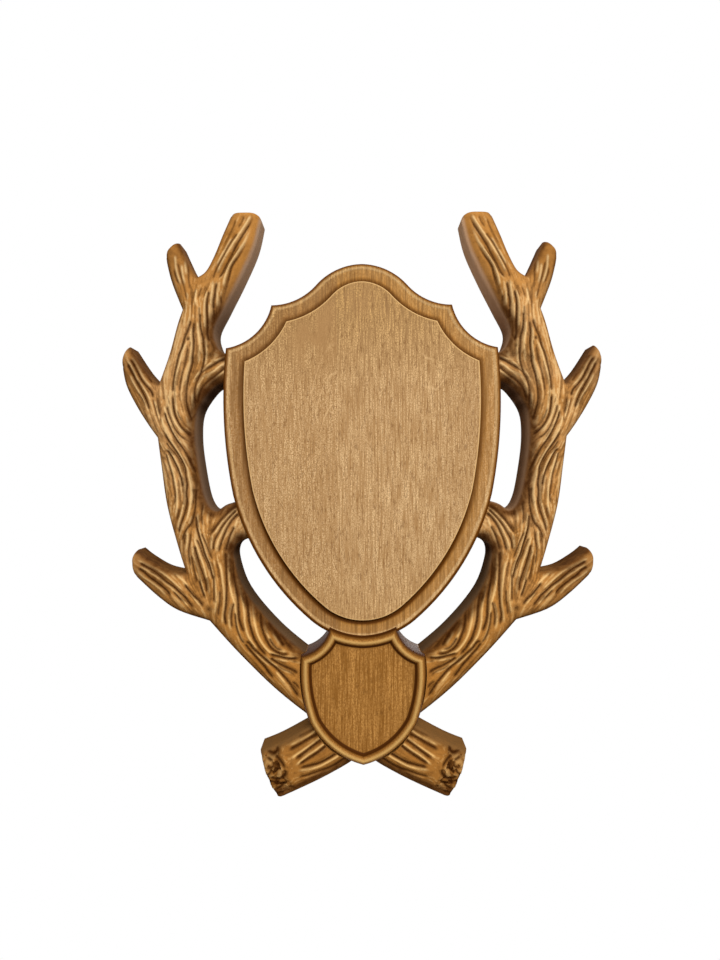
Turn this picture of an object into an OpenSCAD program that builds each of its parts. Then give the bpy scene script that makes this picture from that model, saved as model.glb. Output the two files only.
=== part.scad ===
// Carved wooden trophy plaque: a moulded shield and a small name shield on two crossed branches.
// Millimetres. X is to the right, Z is up and the front faces -Y.
// The flat back lies on the wall at Y = 0, and the origin is the round hole of the keyhole hanger.
// Outlines are drawn in the plane of the wall, as [across, up]. Depths are counted forward from the wall.

/* [Shield] */
// Greatest width of the shield
shield_w = 212; // [195:1:225]
// Top of the dome above the keyhole
dome_up = 44.8; // [38:0.2:50]
// Tip of the shield below the keyhole
tip_down = 241.6; // [234:0.2:249]
// Horn of the shield, out from the middle line
horn_out = 69; // [64:1:74]
// Horn of the shield above the keyhole
horn_up = 13.6; // [10:0.2:18]
// Shoulder corner below the keyhole
corner_down = 19; // [14:1:24]
// Width of the moulded border
border_w = 16; // [13:0.5:19]
// Thickness of the shield at its border
border_t = 30; // [27:0.5:31]
// Rise of the field above the border
field_rise = 4; // [2:0.5:6]
// Depth of the groove beside the field
groove_d = 1.5; // [0.5:0.25:3]
// Rounding of the outer edge
edge_round = 3; // [1.5:0.5:5]

/* [Boards of the shield] */
// Width of the middle board, between its two glue lines
board_w = 83; // [70:1:95]
// Glue line left of the middle line
left_joint_out = 19; // [14:1:26]

/* [Name shield] */
// Width of the name shield between its corners
name_w = 94.4; // [84:0.2:104]
// Height of the name shield from horns to tip
name_h = 103; // [96:1:110]
// Horn of the name shield, out from the middle line
name_horn_out = 25.6; // [22:0.2:29]
// Depth of the hollow between the horns
name_hollow = 6; // [4:0.5:8]
// Overlap of the name shield on the tip of the shield
lip = 3.1; // [2:0.1:6]
// Width of the raised rim
rim_w = 9.8; // [8:0.2:12]
// Front of the rim
rim_t = 38; // [36:0.5:41]
// Front of the recessed field
name_field_t = 33; // [32:0.5:35]

/* [Branches] */
// Height of the upright sides of the branches
wall_h = 20; // [18:0.5:23]
// Height of the upright sides of the stumps
stump_wall_h = 29; // [26:0.5:31]
// Front of the trunk's bark
crest_t = 34; // [31:0.5:37]

/* [Joints] */
// Glue gap between fitted pieces
glue_gap = 0.1; // [0.05:0.05:0.2]
// Diameter of the dowels
dowel_d = 6; // [5:0.5:8]
// Length of the dowels
dowel_l = 30; // [24:1:34]
// Distance between the two dowels of a stub
dowel_pitch = 12; // [10:0.5:14]
// Length of the crossing screws
long_screw_l = 29; // [26:0.5:30]
// Shank diameter of the crossing screws
long_screw_d = 4; // [3:0.5:5]
// Distance between the crossing screws
long_screw_pitch = 20; // [14:1:22]

/* [Hanger] */
// Width of the hanger plate
plate_w = 20; // [18:1:26]
// Distance between the plate's screws
plate_pitch = 44; // [40:1:52]
// Thickness of the hanger plate
plate_t = 2; // [1.5:0.25:3]
// Diameter of the keyhole's round entry
entry_d = 10; // [8:0.5:11]
// Width of the keyhole's slot
slot_w = 5; // [4:0.25:6]
// Height of the slot's end above the entry
slot_up = 12; // [9:0.5:14]
// Depth of the hollow for the hook's head
head_room = 10; // [7:0.5:14]
// Length of the hanger's screws
short_screw_l = 16; // [12:0.5:20]
// Shank diameter of the hanger's screws
short_screw_d = 3.5; // [3:0.25:4.5]

/* [Hidden] */
$fn = 48;
wood = "peru";
dark_wood = "sienna";
pale_wood = "burlywood";
steel = "silver";
cut = 1;
head_clearance = 1;
head_d = entry_d + 2 * head_clearance;
field_t = border_t + field_rise;
front = max(crest_t, rim_t) + 10;
arc_steps = 9;
smooth_likeness = cos(15);

// Key points of the shield's right half, from the dome down to the tip
side = shield_w / 2;
corner_in = 2.2;
hip_in = 7.2;
hip_below_corner = 112;
toe_out = 40;
toe_above_tip = 14.8;
dome = [0, dome_up];
horn = [horn_out, horn_up];
ogee = (dome + horn) / 2;
corner = [side - corner_in, -corner_down];
hip = [side - hip_in, -corner_down - hip_below_corner];
toe = [toe_out, toe_above_tip - tip_down];
tip = [0, -tip_down];

// Each stretch of the half outline: its two ends, and how far its middle stands out of the chord
shield_half = [
    [dome, ogee, 3.9], [ogee, horn, -4.1], [horn, corner, -7.4],
    [corner, hip, 4.3], [hip, toe, 8.8], [toe, tip, 3.8],
];

// Key points of the name shield's right half
name_corner_below_horn = 20;
name_hip_in = 6.2;
name_hip_below_horn = 70.5;
name_mid = [0, lip - tip_down];
name_horn = name_mid + [name_horn_out, name_hollow];
name_corner = [name_w / 2, name_horn.y - name_corner_below_horn];
name_hip = [name_w / 2 - name_hip_in, name_horn.y - name_hip_below_horn];
name_tip = [0, name_horn.y - name_h];
name_half = [
    [name_mid, name_horn, -1.5], [name_horn, name_corner, -4.6],
    [name_corner, name_hip, 3], [name_hip, name_tip, 5.6],
];

// Moulding profiles from the back edge to the field, as [inset, depth]
cove_w = 3;
arris = 1;
shield_profile = [
    [0, 0], [0, border_t - edge_round],
    [0.3 * edge_round, border_t - 0.3 * edge_round], [edge_round, border_t],
    [border_w - cove_w, border_t], [border_w - 0.2 * cove_w, border_t - groove_d],
    [border_w, border_t - groove_d], [border_w + 0.4 * arris, field_t - 0.6 * arris],
    [border_w + arris, field_t],
];
name_profile = [
    [0, 0], [0, name_field_t - 1], [0.12 * rim_w, name_field_t + 1.5],
    [0.45 * rim_w, rim_t - 0.8], [0.7 * rim_w, rim_t], [0.86 * rim_w, rim_t - 0.8],
    [0.96 * rim_w, name_field_t + 1], [rim_w, name_field_t],
];

// Outline of one branch as smooth runs between its corners, as [out from the shield's side, up]
branch_runs = [
    // Cut end of the upper limb and its outer side, down to the first crotch
    [[-28.8, 81], [-23.8, 86.2]],
    [[-23.8, 86.2], [-5.8, 85.8]],
    [[-5.8, 85.8], [0.9, 69.5], [7.2, 54], [13.8, 41.5], [20.5, 36.5]],
    // First twig
    [[20.5, 36.5], [26, 45.5], [34.2, 63.5]],
    [[34.2, 63.5], [38, 61.8], [42.5, 57], [44.7, 52.5]],
    [[44.7, 52.5], [43.5, 45], [39.7, 31], [32, 11.5]],
    // Trunk down to the second crotch
    [[32, 11.5], [36, 0], [42.3, -23], [50.5, -45.5]],
    // Second twig
    [[50.5, -45.5], [61, -34.5], [73.2, -16]],
    [[73.2, -16], [77.2, -23], [78.8, -32]],
    [[78.8, -32], [75.6, -46.5], [68, -62], [59, -76.5], [51.5, -87]],
    // Trunk down to the third crotch
    [[51.5, -87], [48.7, -108], [44.4, -139], [36.4, -170], [30, -191]],
    // Third twig
    [[30, -191], [46, -187.5], [60, -179.5], [68, -173.2]],
    [[68, -173.2], [71, -179], [70.9, -187], [69.5, -193]],
    [[69.5, -193], [52, -209], [36, -220], [12, -228]],
    // Lower side of the trunk, under the name shield and along the stump
    [[12, -228], [-13, -255.5], [-45.5, -286.5], [-92, -321], [-133, -345.5], [-171.5, -363.5]],
    // Cut end of the stump
    [[-171.5, -363.5], [-179.5, -345], [-185.5, -327]],
    // Upper side of the stump and the trunk, up to the lower stub
    [[-185.5, -327], [-162, -316.5], [-105, -283], [-60, -250], [-36, -228.5], [-16.5, -204], [-8.5, -182],
        [-8.8, -171], [-14.5, -166], [-24, -163]],
    // Into the shield, and back out along the upper side of the lower stub
    [[-24, -163], [-22, -133]],
    [[-22, -133], [-2.4, -138], [7, -142.8], [14, -133], [19, -108], [21.3, -86], [19.5, -67],
        [10, -51.8], [2, -46], [-12, -43]],
    // Into the shield, and back out along the upper side of the upper stub
    [[-12, -43], [-8, -24]],
    [[-8, -24], [0, -21.5], [4.6, -16.5], [6.7, -4.5], [-1.4, 12.5], [-13.5, 36.5], [-24, 60.5], [-28.8, 81]],
];

// Rounded backs of the limbs, as [out from the shield's side, up, half width, drop below the crest]
trunk_back = [
    [-16.5, 92, 10, 9], [-10, 66, 11.5, 6], [-2.5, 44, 12, 4], [7, 22, 14, 2], [15.5, 0, 15, 1],
    [25, -25, 16, 0], [32, -55, 16, 0], [36, -85, 14, 0], [33, -115, 13.5, 0],
    [27, -145, 14.5, 0], [17, -175, 15.5, 0], [1.5, -208, 15.5, 0], [-19.5, -238, 16, 0],
    [-48.5, -264, 16.5, 0], [-105.5, -306, 17, 0], [-142.5, -329, 17, -2], [-190, -350, 17, -2],
];
limb_backs = [
    // Three twigs, from the trunk to their cut ends
    [[15, 4, 12, 2], [25.5, 27, 9, 4], [33, 42, 8.5, 5], [42.5, 66, 7.5, 9]],
    [[36, -76, 13, 1], [52, -63, 12.5, 3], [64, -45, 10, 5], [81, -16, 8, 10]],
    [[14, -200, 14, 1], [30, -208, 13, 3], [49, -198, 10.5, 5], [76, -181, 9, 9]],
    // Two stubs, from the trunk into the shield's edge
    [[26, -32, 13, 2], [10, -33, 12, 6], [-8, -34, 11, 9]],
    [[18, -150, 14, 1], [2, -152, 13, 5], [-16, -153, 12, 8]],
];
back_sides = 8;
back_fullness = 0.8;
back_root = 8;
run_steps = 4;
stub_ups = [-34, -154];

function left_normal(v) = [-v.y, v.x] / norm(v);

// Circle of a stretch, as [centre, radius], with a negative radius where the stretch is hollow
function circle_of(stretch) =
    let (a = stretch[0])
    let (c = stretch[1])
    let (bulge = stretch[2])
    let (half = norm(c - a) / 2)
    let (radius = (half * half + bulge * bulge) / (2 * bulge))
    [(a + c) / 2 + left_normal(c - a) * (bulge - radius), radius];

// Outward unit normal of a circle at a point on it
function outward(circle, point) = (point - circle[0]) / circle[1];

// Whichever of two points lies nearer to a third
function nearer(p, q, aim) = norm(p - aim) < norm(q - aim) ? p : q;

// Where a circle meets the middle line, near a point
function on_middle_line(circle, reach, aim) =
    let (rise = sqrt(pow(reach, 2) - pow(circle[0].x, 2)))
    nearer([0, circle[0].y + rise], [0, circle[0].y - rise], aim);

// Where two circles of given reaches meet, near a point
function meeting(one, reach_one, two, reach_two, aim) =
    let (line = two[0] - one[0])
    let (gap = norm(line))
    let (along = (pow(reach_one, 2) - pow(reach_two, 2) + gap * gap) / (2 * gap))
    let (foot = one[0] + along * line / gap)
    let (rise = sqrt(pow(reach_one, 2) - along * along) * left_normal(line))
    nearer(foot + rise, foot - rise, aim);

// Joint of two stretches after moving inwards: a mitre at a corner, a plain shift where they run on smoothly
function moved_joint(one, two, joint, distance) =
    let (before = outward(one, joint))
    let (after = outward(two, joint))
    let (likeness = before * after)
    likeness < smooth_likeness
        ? meeting(one, abs(one[1] - distance), two, abs(two[1] - distance), joint)
        : joint - distance * (before + after) / (1 + likeness);

// Points about a centre from a towards c, without c
function arc(centre, a, c) =
    let (start = atan2(a.y - centre.y, a.x - centre.x))
    let (end = atan2(c.y - centre.y, c.x - centre.x))
    let (sweep = (end - start + 540) % 360 - 180)
    [for (k = [0 : arc_steps - 1])
        let (t = k / arc_steps)
        let (reach = (1 - t) * norm(a - centre) + t * norm(c - centre))
        centre + reach * [cos(start + sweep * t), sin(start + sweep * t)]];

// Closed clockwise outline from the stretches of its right half, moved inwards by a distance
function outline_of(half, distance = 0) =
    let (last = len(half) - 1)
    let (circles = [for (stretch = half) circle_of(stretch)])
    let (joints = [for (i = [1 : last]) moved_joint(circles[i - 1], circles[i], half[i][0], distance)])
    let (top = on_middle_line(circles[0], abs(circles[0][1] - distance), half[0][0]))
    let (end = on_middle_line(circles[last], abs(circles[last][1] - distance), half[last][1]))
    let (ends = concat([top], joints, [end]))
    let (right = [for (i = [0 : last]) each arc(circles[i][0], ends[i], ends[i + 1])])
    concat(right, [end], [for (i = [len(right) - 1 : -1 : 1]) [-right[i].x, right[i].y]]);

// Smooth curve through a run of points, without its last point
function smooth_run(run, steps) =
    let (last = len(run) - 1)
    [for (i = [0 : last - 1]) for (k = [0 : steps - 1])
        let (a = run[max(i - 1, 0)])
        let (b = run[i])
        let (c = run[i + 1])
        let (d = run[min(i + 2, last)])
        let (t = k / steps)
        b + t * ((c - a) + t * ((2 * a - 5 * b + 4 * c - d) + t * (3 * b - a - 3 * c + d))) / 2];

// Mean of a list of points
function middle(points) = [for (v = points) 1] * points / len(points);

shield_outline = outline_of(shield_half);
name_outline = outline_of(name_half);
branch_outline = [for (run = branch_runs) each [for (p = smooth_run(run, run_steps)) [side + p.x, p.y]]];

// Right edge of the shield at a given height
function side_at(up) = max([for (i = [0 : len(shield_outline) - 2])
    let (a = shield_outline[i])
    let (b = shield_outline[i + 1])
    if ((a.y - up) * (b.y - up) <= 0 && a.y != b.y) a.x + (b.x - a.x) * (up - a.y) / (b.y - a.y)]);

// Height at which the middle lines of the two trunks cross
crossing_up = lookup(-side, [for (p = trunk_back) [p.x, p.y]]);

// Stands a shape that was drawn flat up against the wall
module upright() {
    rotate([90, 0, 0]) children();
}

// Closed loft of rings that all have as many points, with a fan of faces over each end
module loft(rings) {
    count = len(rings[0]);
    ends = [rings[0], rings[len(rings) - 1]];
    first = len(rings) * count;
    walls = [for (r = [0 : len(rings) - 2]) for (i = [0 : count - 1])
        let (low = r * count)
        let (high = low + count)
        let (j = (i + 1) % count)
        each [[low + i, low + j, high + j], [low + i, high + j, high + i]]];
    caps = [for (i = [0 : count - 1])
        let (j = (i + 1) % count)
        each [[j, i, first], [first - count + i, first - count + j, first + 1]]];
    points = concat([for (ring = rings) each ring], [for (end = ends) middle(end)]);
    polyhedron(points, concat(walls, caps), convexity = 6);
}

// Board with a moulded front, lofted from its outline moved inwards step by step
module moulded_board(half, profile) {
    loft([for (step = profile) [for (p = outline_of(half, step[0])) [p.x, p.y, step[1]]]]);
}

// Upright-sided solid of an outline between two depths
module flat_shape(outline, from, to, grow = 0) {
    translate([0, 0, from]) linear_extrude(to - from) offset(delta = grow) polygon(outline);
}

// Rounded back of a limb, swept along its middle line
module limb_back(line) {
    path = concat(smooth_run(line, 2), [line[len(line) - 1]]);
    last = len(path) - 1;
    base = wall_h - back_root;
    rings = [for (i = [0 : last])
        let (p = path[i])
        let (ahead = path[min(i + 1, last)] - path[max(i - 1, 0)])
        let (across = left_normal([ahead.x, ahead.y]))
        [for (k = [0 : back_sides])
            let (turn = 180 * k / back_sides)
            let (shift = -p[2] * cos(turn))
            [side + p.x + across.x * shift, p.y + across.y * shift,
                base + (crest_t - p[3] - base) * pow(sin(turn), back_fullness)]]];
    loft(rings);
}

// Countersunk wood screw, head first at the wall and pointing forward
module wood_screw(d, l, grow = 0) {
    head_h = d / 2;
    cylinder(d1 = 2 * d + 2 * grow, d2 = d + 2 * grow, h = head_h);
    cylinder(d = d + 2 * grow, h = l - d);
    translate([0, 0, l - d]) cylinder(d1 = d + 2 * grow, d2 = 1 + 2 * grow, h = d + grow);
}

// Round dowel with bevelled ends, along the line across the joint
module dowel(grow = 0) {
    bevel = 1;
    rotate([0, 90, 0]) {
        cylinder(d = dowel_d + 2 * grow, h = dowel_l - 2 * bevel + 2 * grow, center = true);
        for (end = [0, 1]) mirror([0, 0, end]) translate([0, 0, dowel_l / 2 - bevel + grow])
            cylinder(d1 = dowel_d + 2 * grow, d2 = dowel_d - bevel + 2 * grow, h = bevel);
    }
}

// Children at the right-hand dowels, half in the shield and half in a stub
module at_dowels() {
    for (stub_up = stub_ups) for (step = [-0.5, 0.5]) {
        up = stub_up + step * dowel_pitch;
        translate([side_at(up), up, wall_h / 2]) children();
    }
}

// Children at the crossing screws, one above the other on the middle line
module at_crossing_screws() {
    for (step = [-0.5, 0.5]) translate([0, crossing_up + step * long_screw_pitch, 0]) children();
}

// Children at the hanger's screws, above and below the keyhole
module at_hanger_screws() {
    for (step = [-0.5, 0.5]) translate([0, slot_up / 2 + step * plate_pitch, 0]) children();
}

// Outline of the hanger plate, with round ends about its screws
module plate_shape(grow = 0) {
    for (step = [-0.5, 0.5]) translate([0, slot_up / 2 + step * plate_pitch]) circle(d = plate_w + 2 * grow);
    translate([-plate_w / 2 - grow, slot_up / 2 - plate_pitch / 2]) square([plate_w + 2 * grow, plate_pitch]);
}

// Keyhole outline: a round entry with a narrow slot above it
module keyhole_shape(entry, slot) {
    circle(d = entry);
    translate([-slot / 2, 0]) square([slot, slot_up]);
    translate([0, slot_up]) circle(d = slot);
}

// Hollows in the back of the shield: plate seat, room for the hook's head and screw holes
module hanger_hollows() {
    translate([0, 0, -cut]) linear_extrude(plate_t + cut) plate_shape(glue_gap);
    translate([0, 0, -cut]) linear_extrude(head_room + cut) keyhole_shape(head_d, head_d);
    at_hanger_screws() wood_screw(short_screw_d, short_screw_l, glue_gap);
}

// The part of the shield between two upright planes
module shield_stave(from, to) {
    upright() difference() {
        intersection() {
            moulded_board(shield_half, shield_profile);
            translate([from, -tip_down - cut, -cut]) cube([to - from, dome_up + tip_down + 2 * cut, front]);
        }
        for (hand = [0, 1]) mirror([hand, 0, 0]) at_dowels() dowel(glue_gap);
        hanger_hollows();
    }
}

// One branch as if it stood alone, drawn on the right
module whole_branch() {
    difference() {
        intersection() {
            flat_shape(branch_outline, 0, front);
            union() {
                translate([-side, -2 * tip_down, -cut]) cube([2 * shield_w, 3 * tip_down, wall_h + cut]);
                translate([-side, -2 * tip_down, -cut]) cube([side, tip_down, stump_wall_h + cut]);
                limb_back(trunk_back);
                for (line = limb_backs) limb_back(line);
            }
        }
        flat_shape(shield_outline, -cut, front, glue_gap);
        flat_shape(name_outline, wall_h, front, glue_gap);
        at_dowels() dowel(glue_gap);
        at_crossing_screws() wood_screw(long_screw_d, long_screw_l, glue_gap);
    }
}

// Room that the right branch takes in the crossing, between two depths
module crossing_room(from, to) {
    flat_shape(branch_outline, from, to, glue_gap);
}

module shield_stave_left() {
    color(pale_wood) shield_stave(-side - cut, -left_joint_out);
}

module shield_stave_middle() {
    color(pale_wood) shield_stave(-left_joint_out, board_w - left_joint_out);
}

module shield_stave_right() {
    color(pale_wood) shield_stave(board_w - left_joint_out, side + cut);
}

module name_shield() {
    color(wood) upright() difference() {
        moulded_board(name_half, name_profile);
        flat_shape(shield_outline, -cut, border_t, glue_gap);
        for (hand = [0, 1]) mirror([hand, 0, 0]) crossing_room(-cut, wall_h);
        at_crossing_screws() wood_screw(long_screw_d, long_screw_l, glue_gap);
    }
}

module left_branch() {
    color(dark_wood) upright() difference() {
        mirror([1, 0, 0]) whole_branch();
        crossing_room(wall_h / 2, front);
    }
}

module right_branch() {
    color(dark_wood) upright() difference() {
        whole_branch();
        mirror([1, 0, 0]) crossing_room(-cut, wall_h / 2);
    }
}

module stub_dowels() {
    color(pale_wood) upright() for (hand = [0, 1]) mirror([hand, 0, 0]) at_dowels() dowel();
}

module crossing_screws() {
    color(steel) upright() at_crossing_screws() wood_screw(long_screw_d, long_screw_l);
}

module keyhole_plate() {
    color(steel) upright() difference() {
        linear_extrude(plate_t) plate_shape();
        translate([0, 0, -cut]) linear_extrude(plate_t + 2 * cut) keyhole_shape(entry_d, slot_w);
        at_hanger_screws() wood_screw(short_screw_d, short_screw_l, glue_gap);
    }
}

module hanger_screws() {
    color(steel) upright() at_hanger_screws() wood_screw(short_screw_d, short_screw_l);
}

shield_stave_left();
shield_stave_middle();
shield_stave_right();
name_shield();
left_branch();
right_branch();
stub_dowels();
crossing_screws();
keyhole_plate();
hanger_screws();
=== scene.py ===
"""Dresses a carved wooden trophy plaque: a moulded shield and a name shield on two crossed branches.

Shapes are drawn flat in millimetres, as across, up and depth from the wall, then stood up in metres.
"""

import logging
import math
from collections.abc import Iterable, Sequence
from dataclasses import dataclass, replace
from enum import Enum

import bmesh
import bpy
import numpy as np
from bmesh.types import BMesh, BMVert
from mathutils import Matrix, Vector


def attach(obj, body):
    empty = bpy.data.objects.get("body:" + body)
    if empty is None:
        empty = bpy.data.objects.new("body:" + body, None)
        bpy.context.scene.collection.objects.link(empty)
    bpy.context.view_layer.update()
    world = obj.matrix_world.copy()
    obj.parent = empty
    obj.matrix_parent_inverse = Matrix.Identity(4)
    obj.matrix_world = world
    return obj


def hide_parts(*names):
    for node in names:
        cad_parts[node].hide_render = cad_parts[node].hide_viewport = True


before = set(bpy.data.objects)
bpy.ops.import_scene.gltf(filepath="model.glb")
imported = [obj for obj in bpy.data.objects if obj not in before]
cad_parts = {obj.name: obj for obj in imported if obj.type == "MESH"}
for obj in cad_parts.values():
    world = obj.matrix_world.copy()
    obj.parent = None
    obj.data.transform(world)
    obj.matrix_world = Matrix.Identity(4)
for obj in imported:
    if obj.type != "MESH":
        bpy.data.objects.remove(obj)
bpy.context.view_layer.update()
LOG = logging.getLogger("plaque")

BODY = "root"
MM = 0.001
STAND_UP = Matrix.Rotation(math.pi / 2, 4, "X") @ Matrix.Scale(MM, 4)
# Faces with more sides than this are flats, whose edges stay sharp
MOST_SIDES = 8
# Depth in millimetres up to which the back is left without stain
BACK_REACH = 0.01
# Distance in millimetres within which vertices are one
MERGE = 1e-5
# Room in millimetres between pieces that touch
GAP = 0.1
# How far in millimetres a cutter starts outside the wood
OVERSHOOT = 1.0
# Sides of the screws and of their holes
SCREW_SIDES = 24
# Factors that scramble the places of a lattice into draws
NOISE_FACTORS = (127.1, 311.7, 74.7, 43758.5453)
FACET_FACTORS = ((12.9, 78.2), (39.3, 11.1), (73.1, 52.2), (26.6, 17.7))
FACET_SPREAD = 9137.31

Span = tuple[float, float]
Run = list[tuple[float, float]]
Colour = tuple[float, float, float]
Ring = list[tuple[float, float, float]]


class Hand(Enum):
    """Side of the plaque that a branch rises on."""

    LEFT = -1
    RIGHT = 1


class Edge(Enum):
    """Kinds of stretch in a branch's outline."""

    SIDE = "side away from the shield"
    INNER_SIDE = "side towards the shield"
    CUT_END = "cut end"
    STUMP_END = "chipped end of the trunk"


class Gouge(Enum):
    """Gouges that cut the bark, as half width and depth in millimetres and darkness of the cut."""

    BROAD = (1.45, 1.4, 0.97)
    MIDDLE = (1.2, 1.1, 0.835)
    FINE = (0.95, 0.7, 0.655)


# Outline of the right branch, as stretches between its corners: out from the shield's side, and up
BRANCH_EDGES: list[tuple[Edge, Run]] = [
    (Edge.CUT_END, [(-28.8, 81), (-26.9, 84), (-22.5, 85.8), (-14.5, 86.1), (-8.5, 86), (-5.8, 84.8)]),
    (Edge.SIDE, [(-5.8, 84.8), (0.9, 69.5), (7.2, 54), (13.8, 41.5), (20.5, 36.5)]),
    (Edge.SIDE, [(20.5, 36.5), (26, 45.5), (34.2, 63.5)]),
    (Edge.CUT_END, [(34.2, 63.5), (38, 61.8), (42.5, 57), (44.7, 52.5)]),
    (Edge.SIDE, [(44.7, 52.5), (43.5, 45), (39.7, 31), (32, 11.5)]),
    (Edge.SIDE, [(32, 11.5), (36, 0), (42.3, -23), (50.5, -45.5)]),
    (Edge.SIDE, [(50.5, -45.5), (61, -34.5), (73.2, -16)]),
    (Edge.CUT_END, [(73.2, -16), (77.2, -23), (78.8, -32)]),
    (Edge.SIDE, [(78.8, -32), (75.6, -46.5), (68, -62), (59, -76.5), (51.5, -87)]),
    (Edge.SIDE, [(51.5, -87), (48.7, -108), (44.4, -139), (36.4, -170), (30, -191)]),
    (Edge.SIDE, [(30, -191), (46, -187.5), (60, -179.5), (68, -173.2)]),
    (Edge.CUT_END, [(68, -173.2), (71, -179), (70.9, -187), (69.5, -193)]),
    (Edge.SIDE, [(69.5, -193), (52, -209), (36, -220), (12, -228)]),
    (Edge.SIDE, [(12, -228), (-13, -255.5), (-45.5, -286.5), (-92, -321), (-133, -345.5), (-171.5, -363.5)]),
    (Edge.STUMP_END, [(-171.5, -363.5), (-179.5, -345), (-185.5, -327)]),
    (Edge.INNER_SIDE, [(-185.5, -327), (-162, -316.5), (-105, -283), (-60, -250), (-36, -228.5),
                       (-16.5, -204), (-8.5, -182), (-8.8, -171), (-14.5, -166), (-24, -163)]),
    (Edge.CUT_END, [(-24, -163), (-22, -133)]),
    (Edge.INNER_SIDE, [(-22, -133), (-2.4, -138), (7, -142.8), (14, -133), (19, -108),
                       (21.3, -86), (19.5, -67), (10, -51.8), (2, -46), (-12, -43)]),
    (Edge.CUT_END, [(-12, -43), (-8, -24)]),
    (Edge.INNER_SIDE, [(-8, -24), (0, -21.5), (4.6, -16.5), (6.7, -4.5), (-1.4, 12.5),
                       (-13.5, 36.5), (-24, 60.5), (-28.8, 81)]),
]

# Middle lines of the trunk, the twigs and the stubs: out, up, half width, drop below the trunk's crest
LIMBS: list[list[tuple[float, float, float, float]]] = [
    [(-16.5, 92, 10, 9), (-10, 66, 11.5, 6), (-2.5, 44, 12, 4), (7, 22, 14, 2), (15.5, 0, 15, 1),
     (25, -25, 16, 0), (32, -55, 16, 0), (36, -85, 14, 0), (33, -115, 13.5, 0), (27, -145, 14.5, 0),
     (17, -175, 15.5, 0), (1.5, -208, 15.5, 0), (-19.5, -238, 16, 0), (-48.5, -264, 16.5, 0),
     (-105.5, -306, 17, 0), (-142.5, -329, 17, -2), (-190, -350, 17, -2)],
    [(15, 4, 12, 2), (25.5, 27, 9, 4), (33, 42, 8.5, 5), (42.5, 66, 7.5, 9)],
    [(36, -76, 13, 1), (52, -63, 12.5, 3), (64, -45, 10, 5), (81, -16, 8, 10)],
    [(14, -200, 14, 1), (30, -208, 13, 3), (49, -198, 10.5, 5), (76, -181, 9, 9)],
    [(26, -32, 13, 2), (10, -33, 12, 6), (-8, -34, 11, 9)],
    [(18, -150, 14, 1), (2, -152, 13, 5), (-16, -153, 12, 8)],
]

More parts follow.
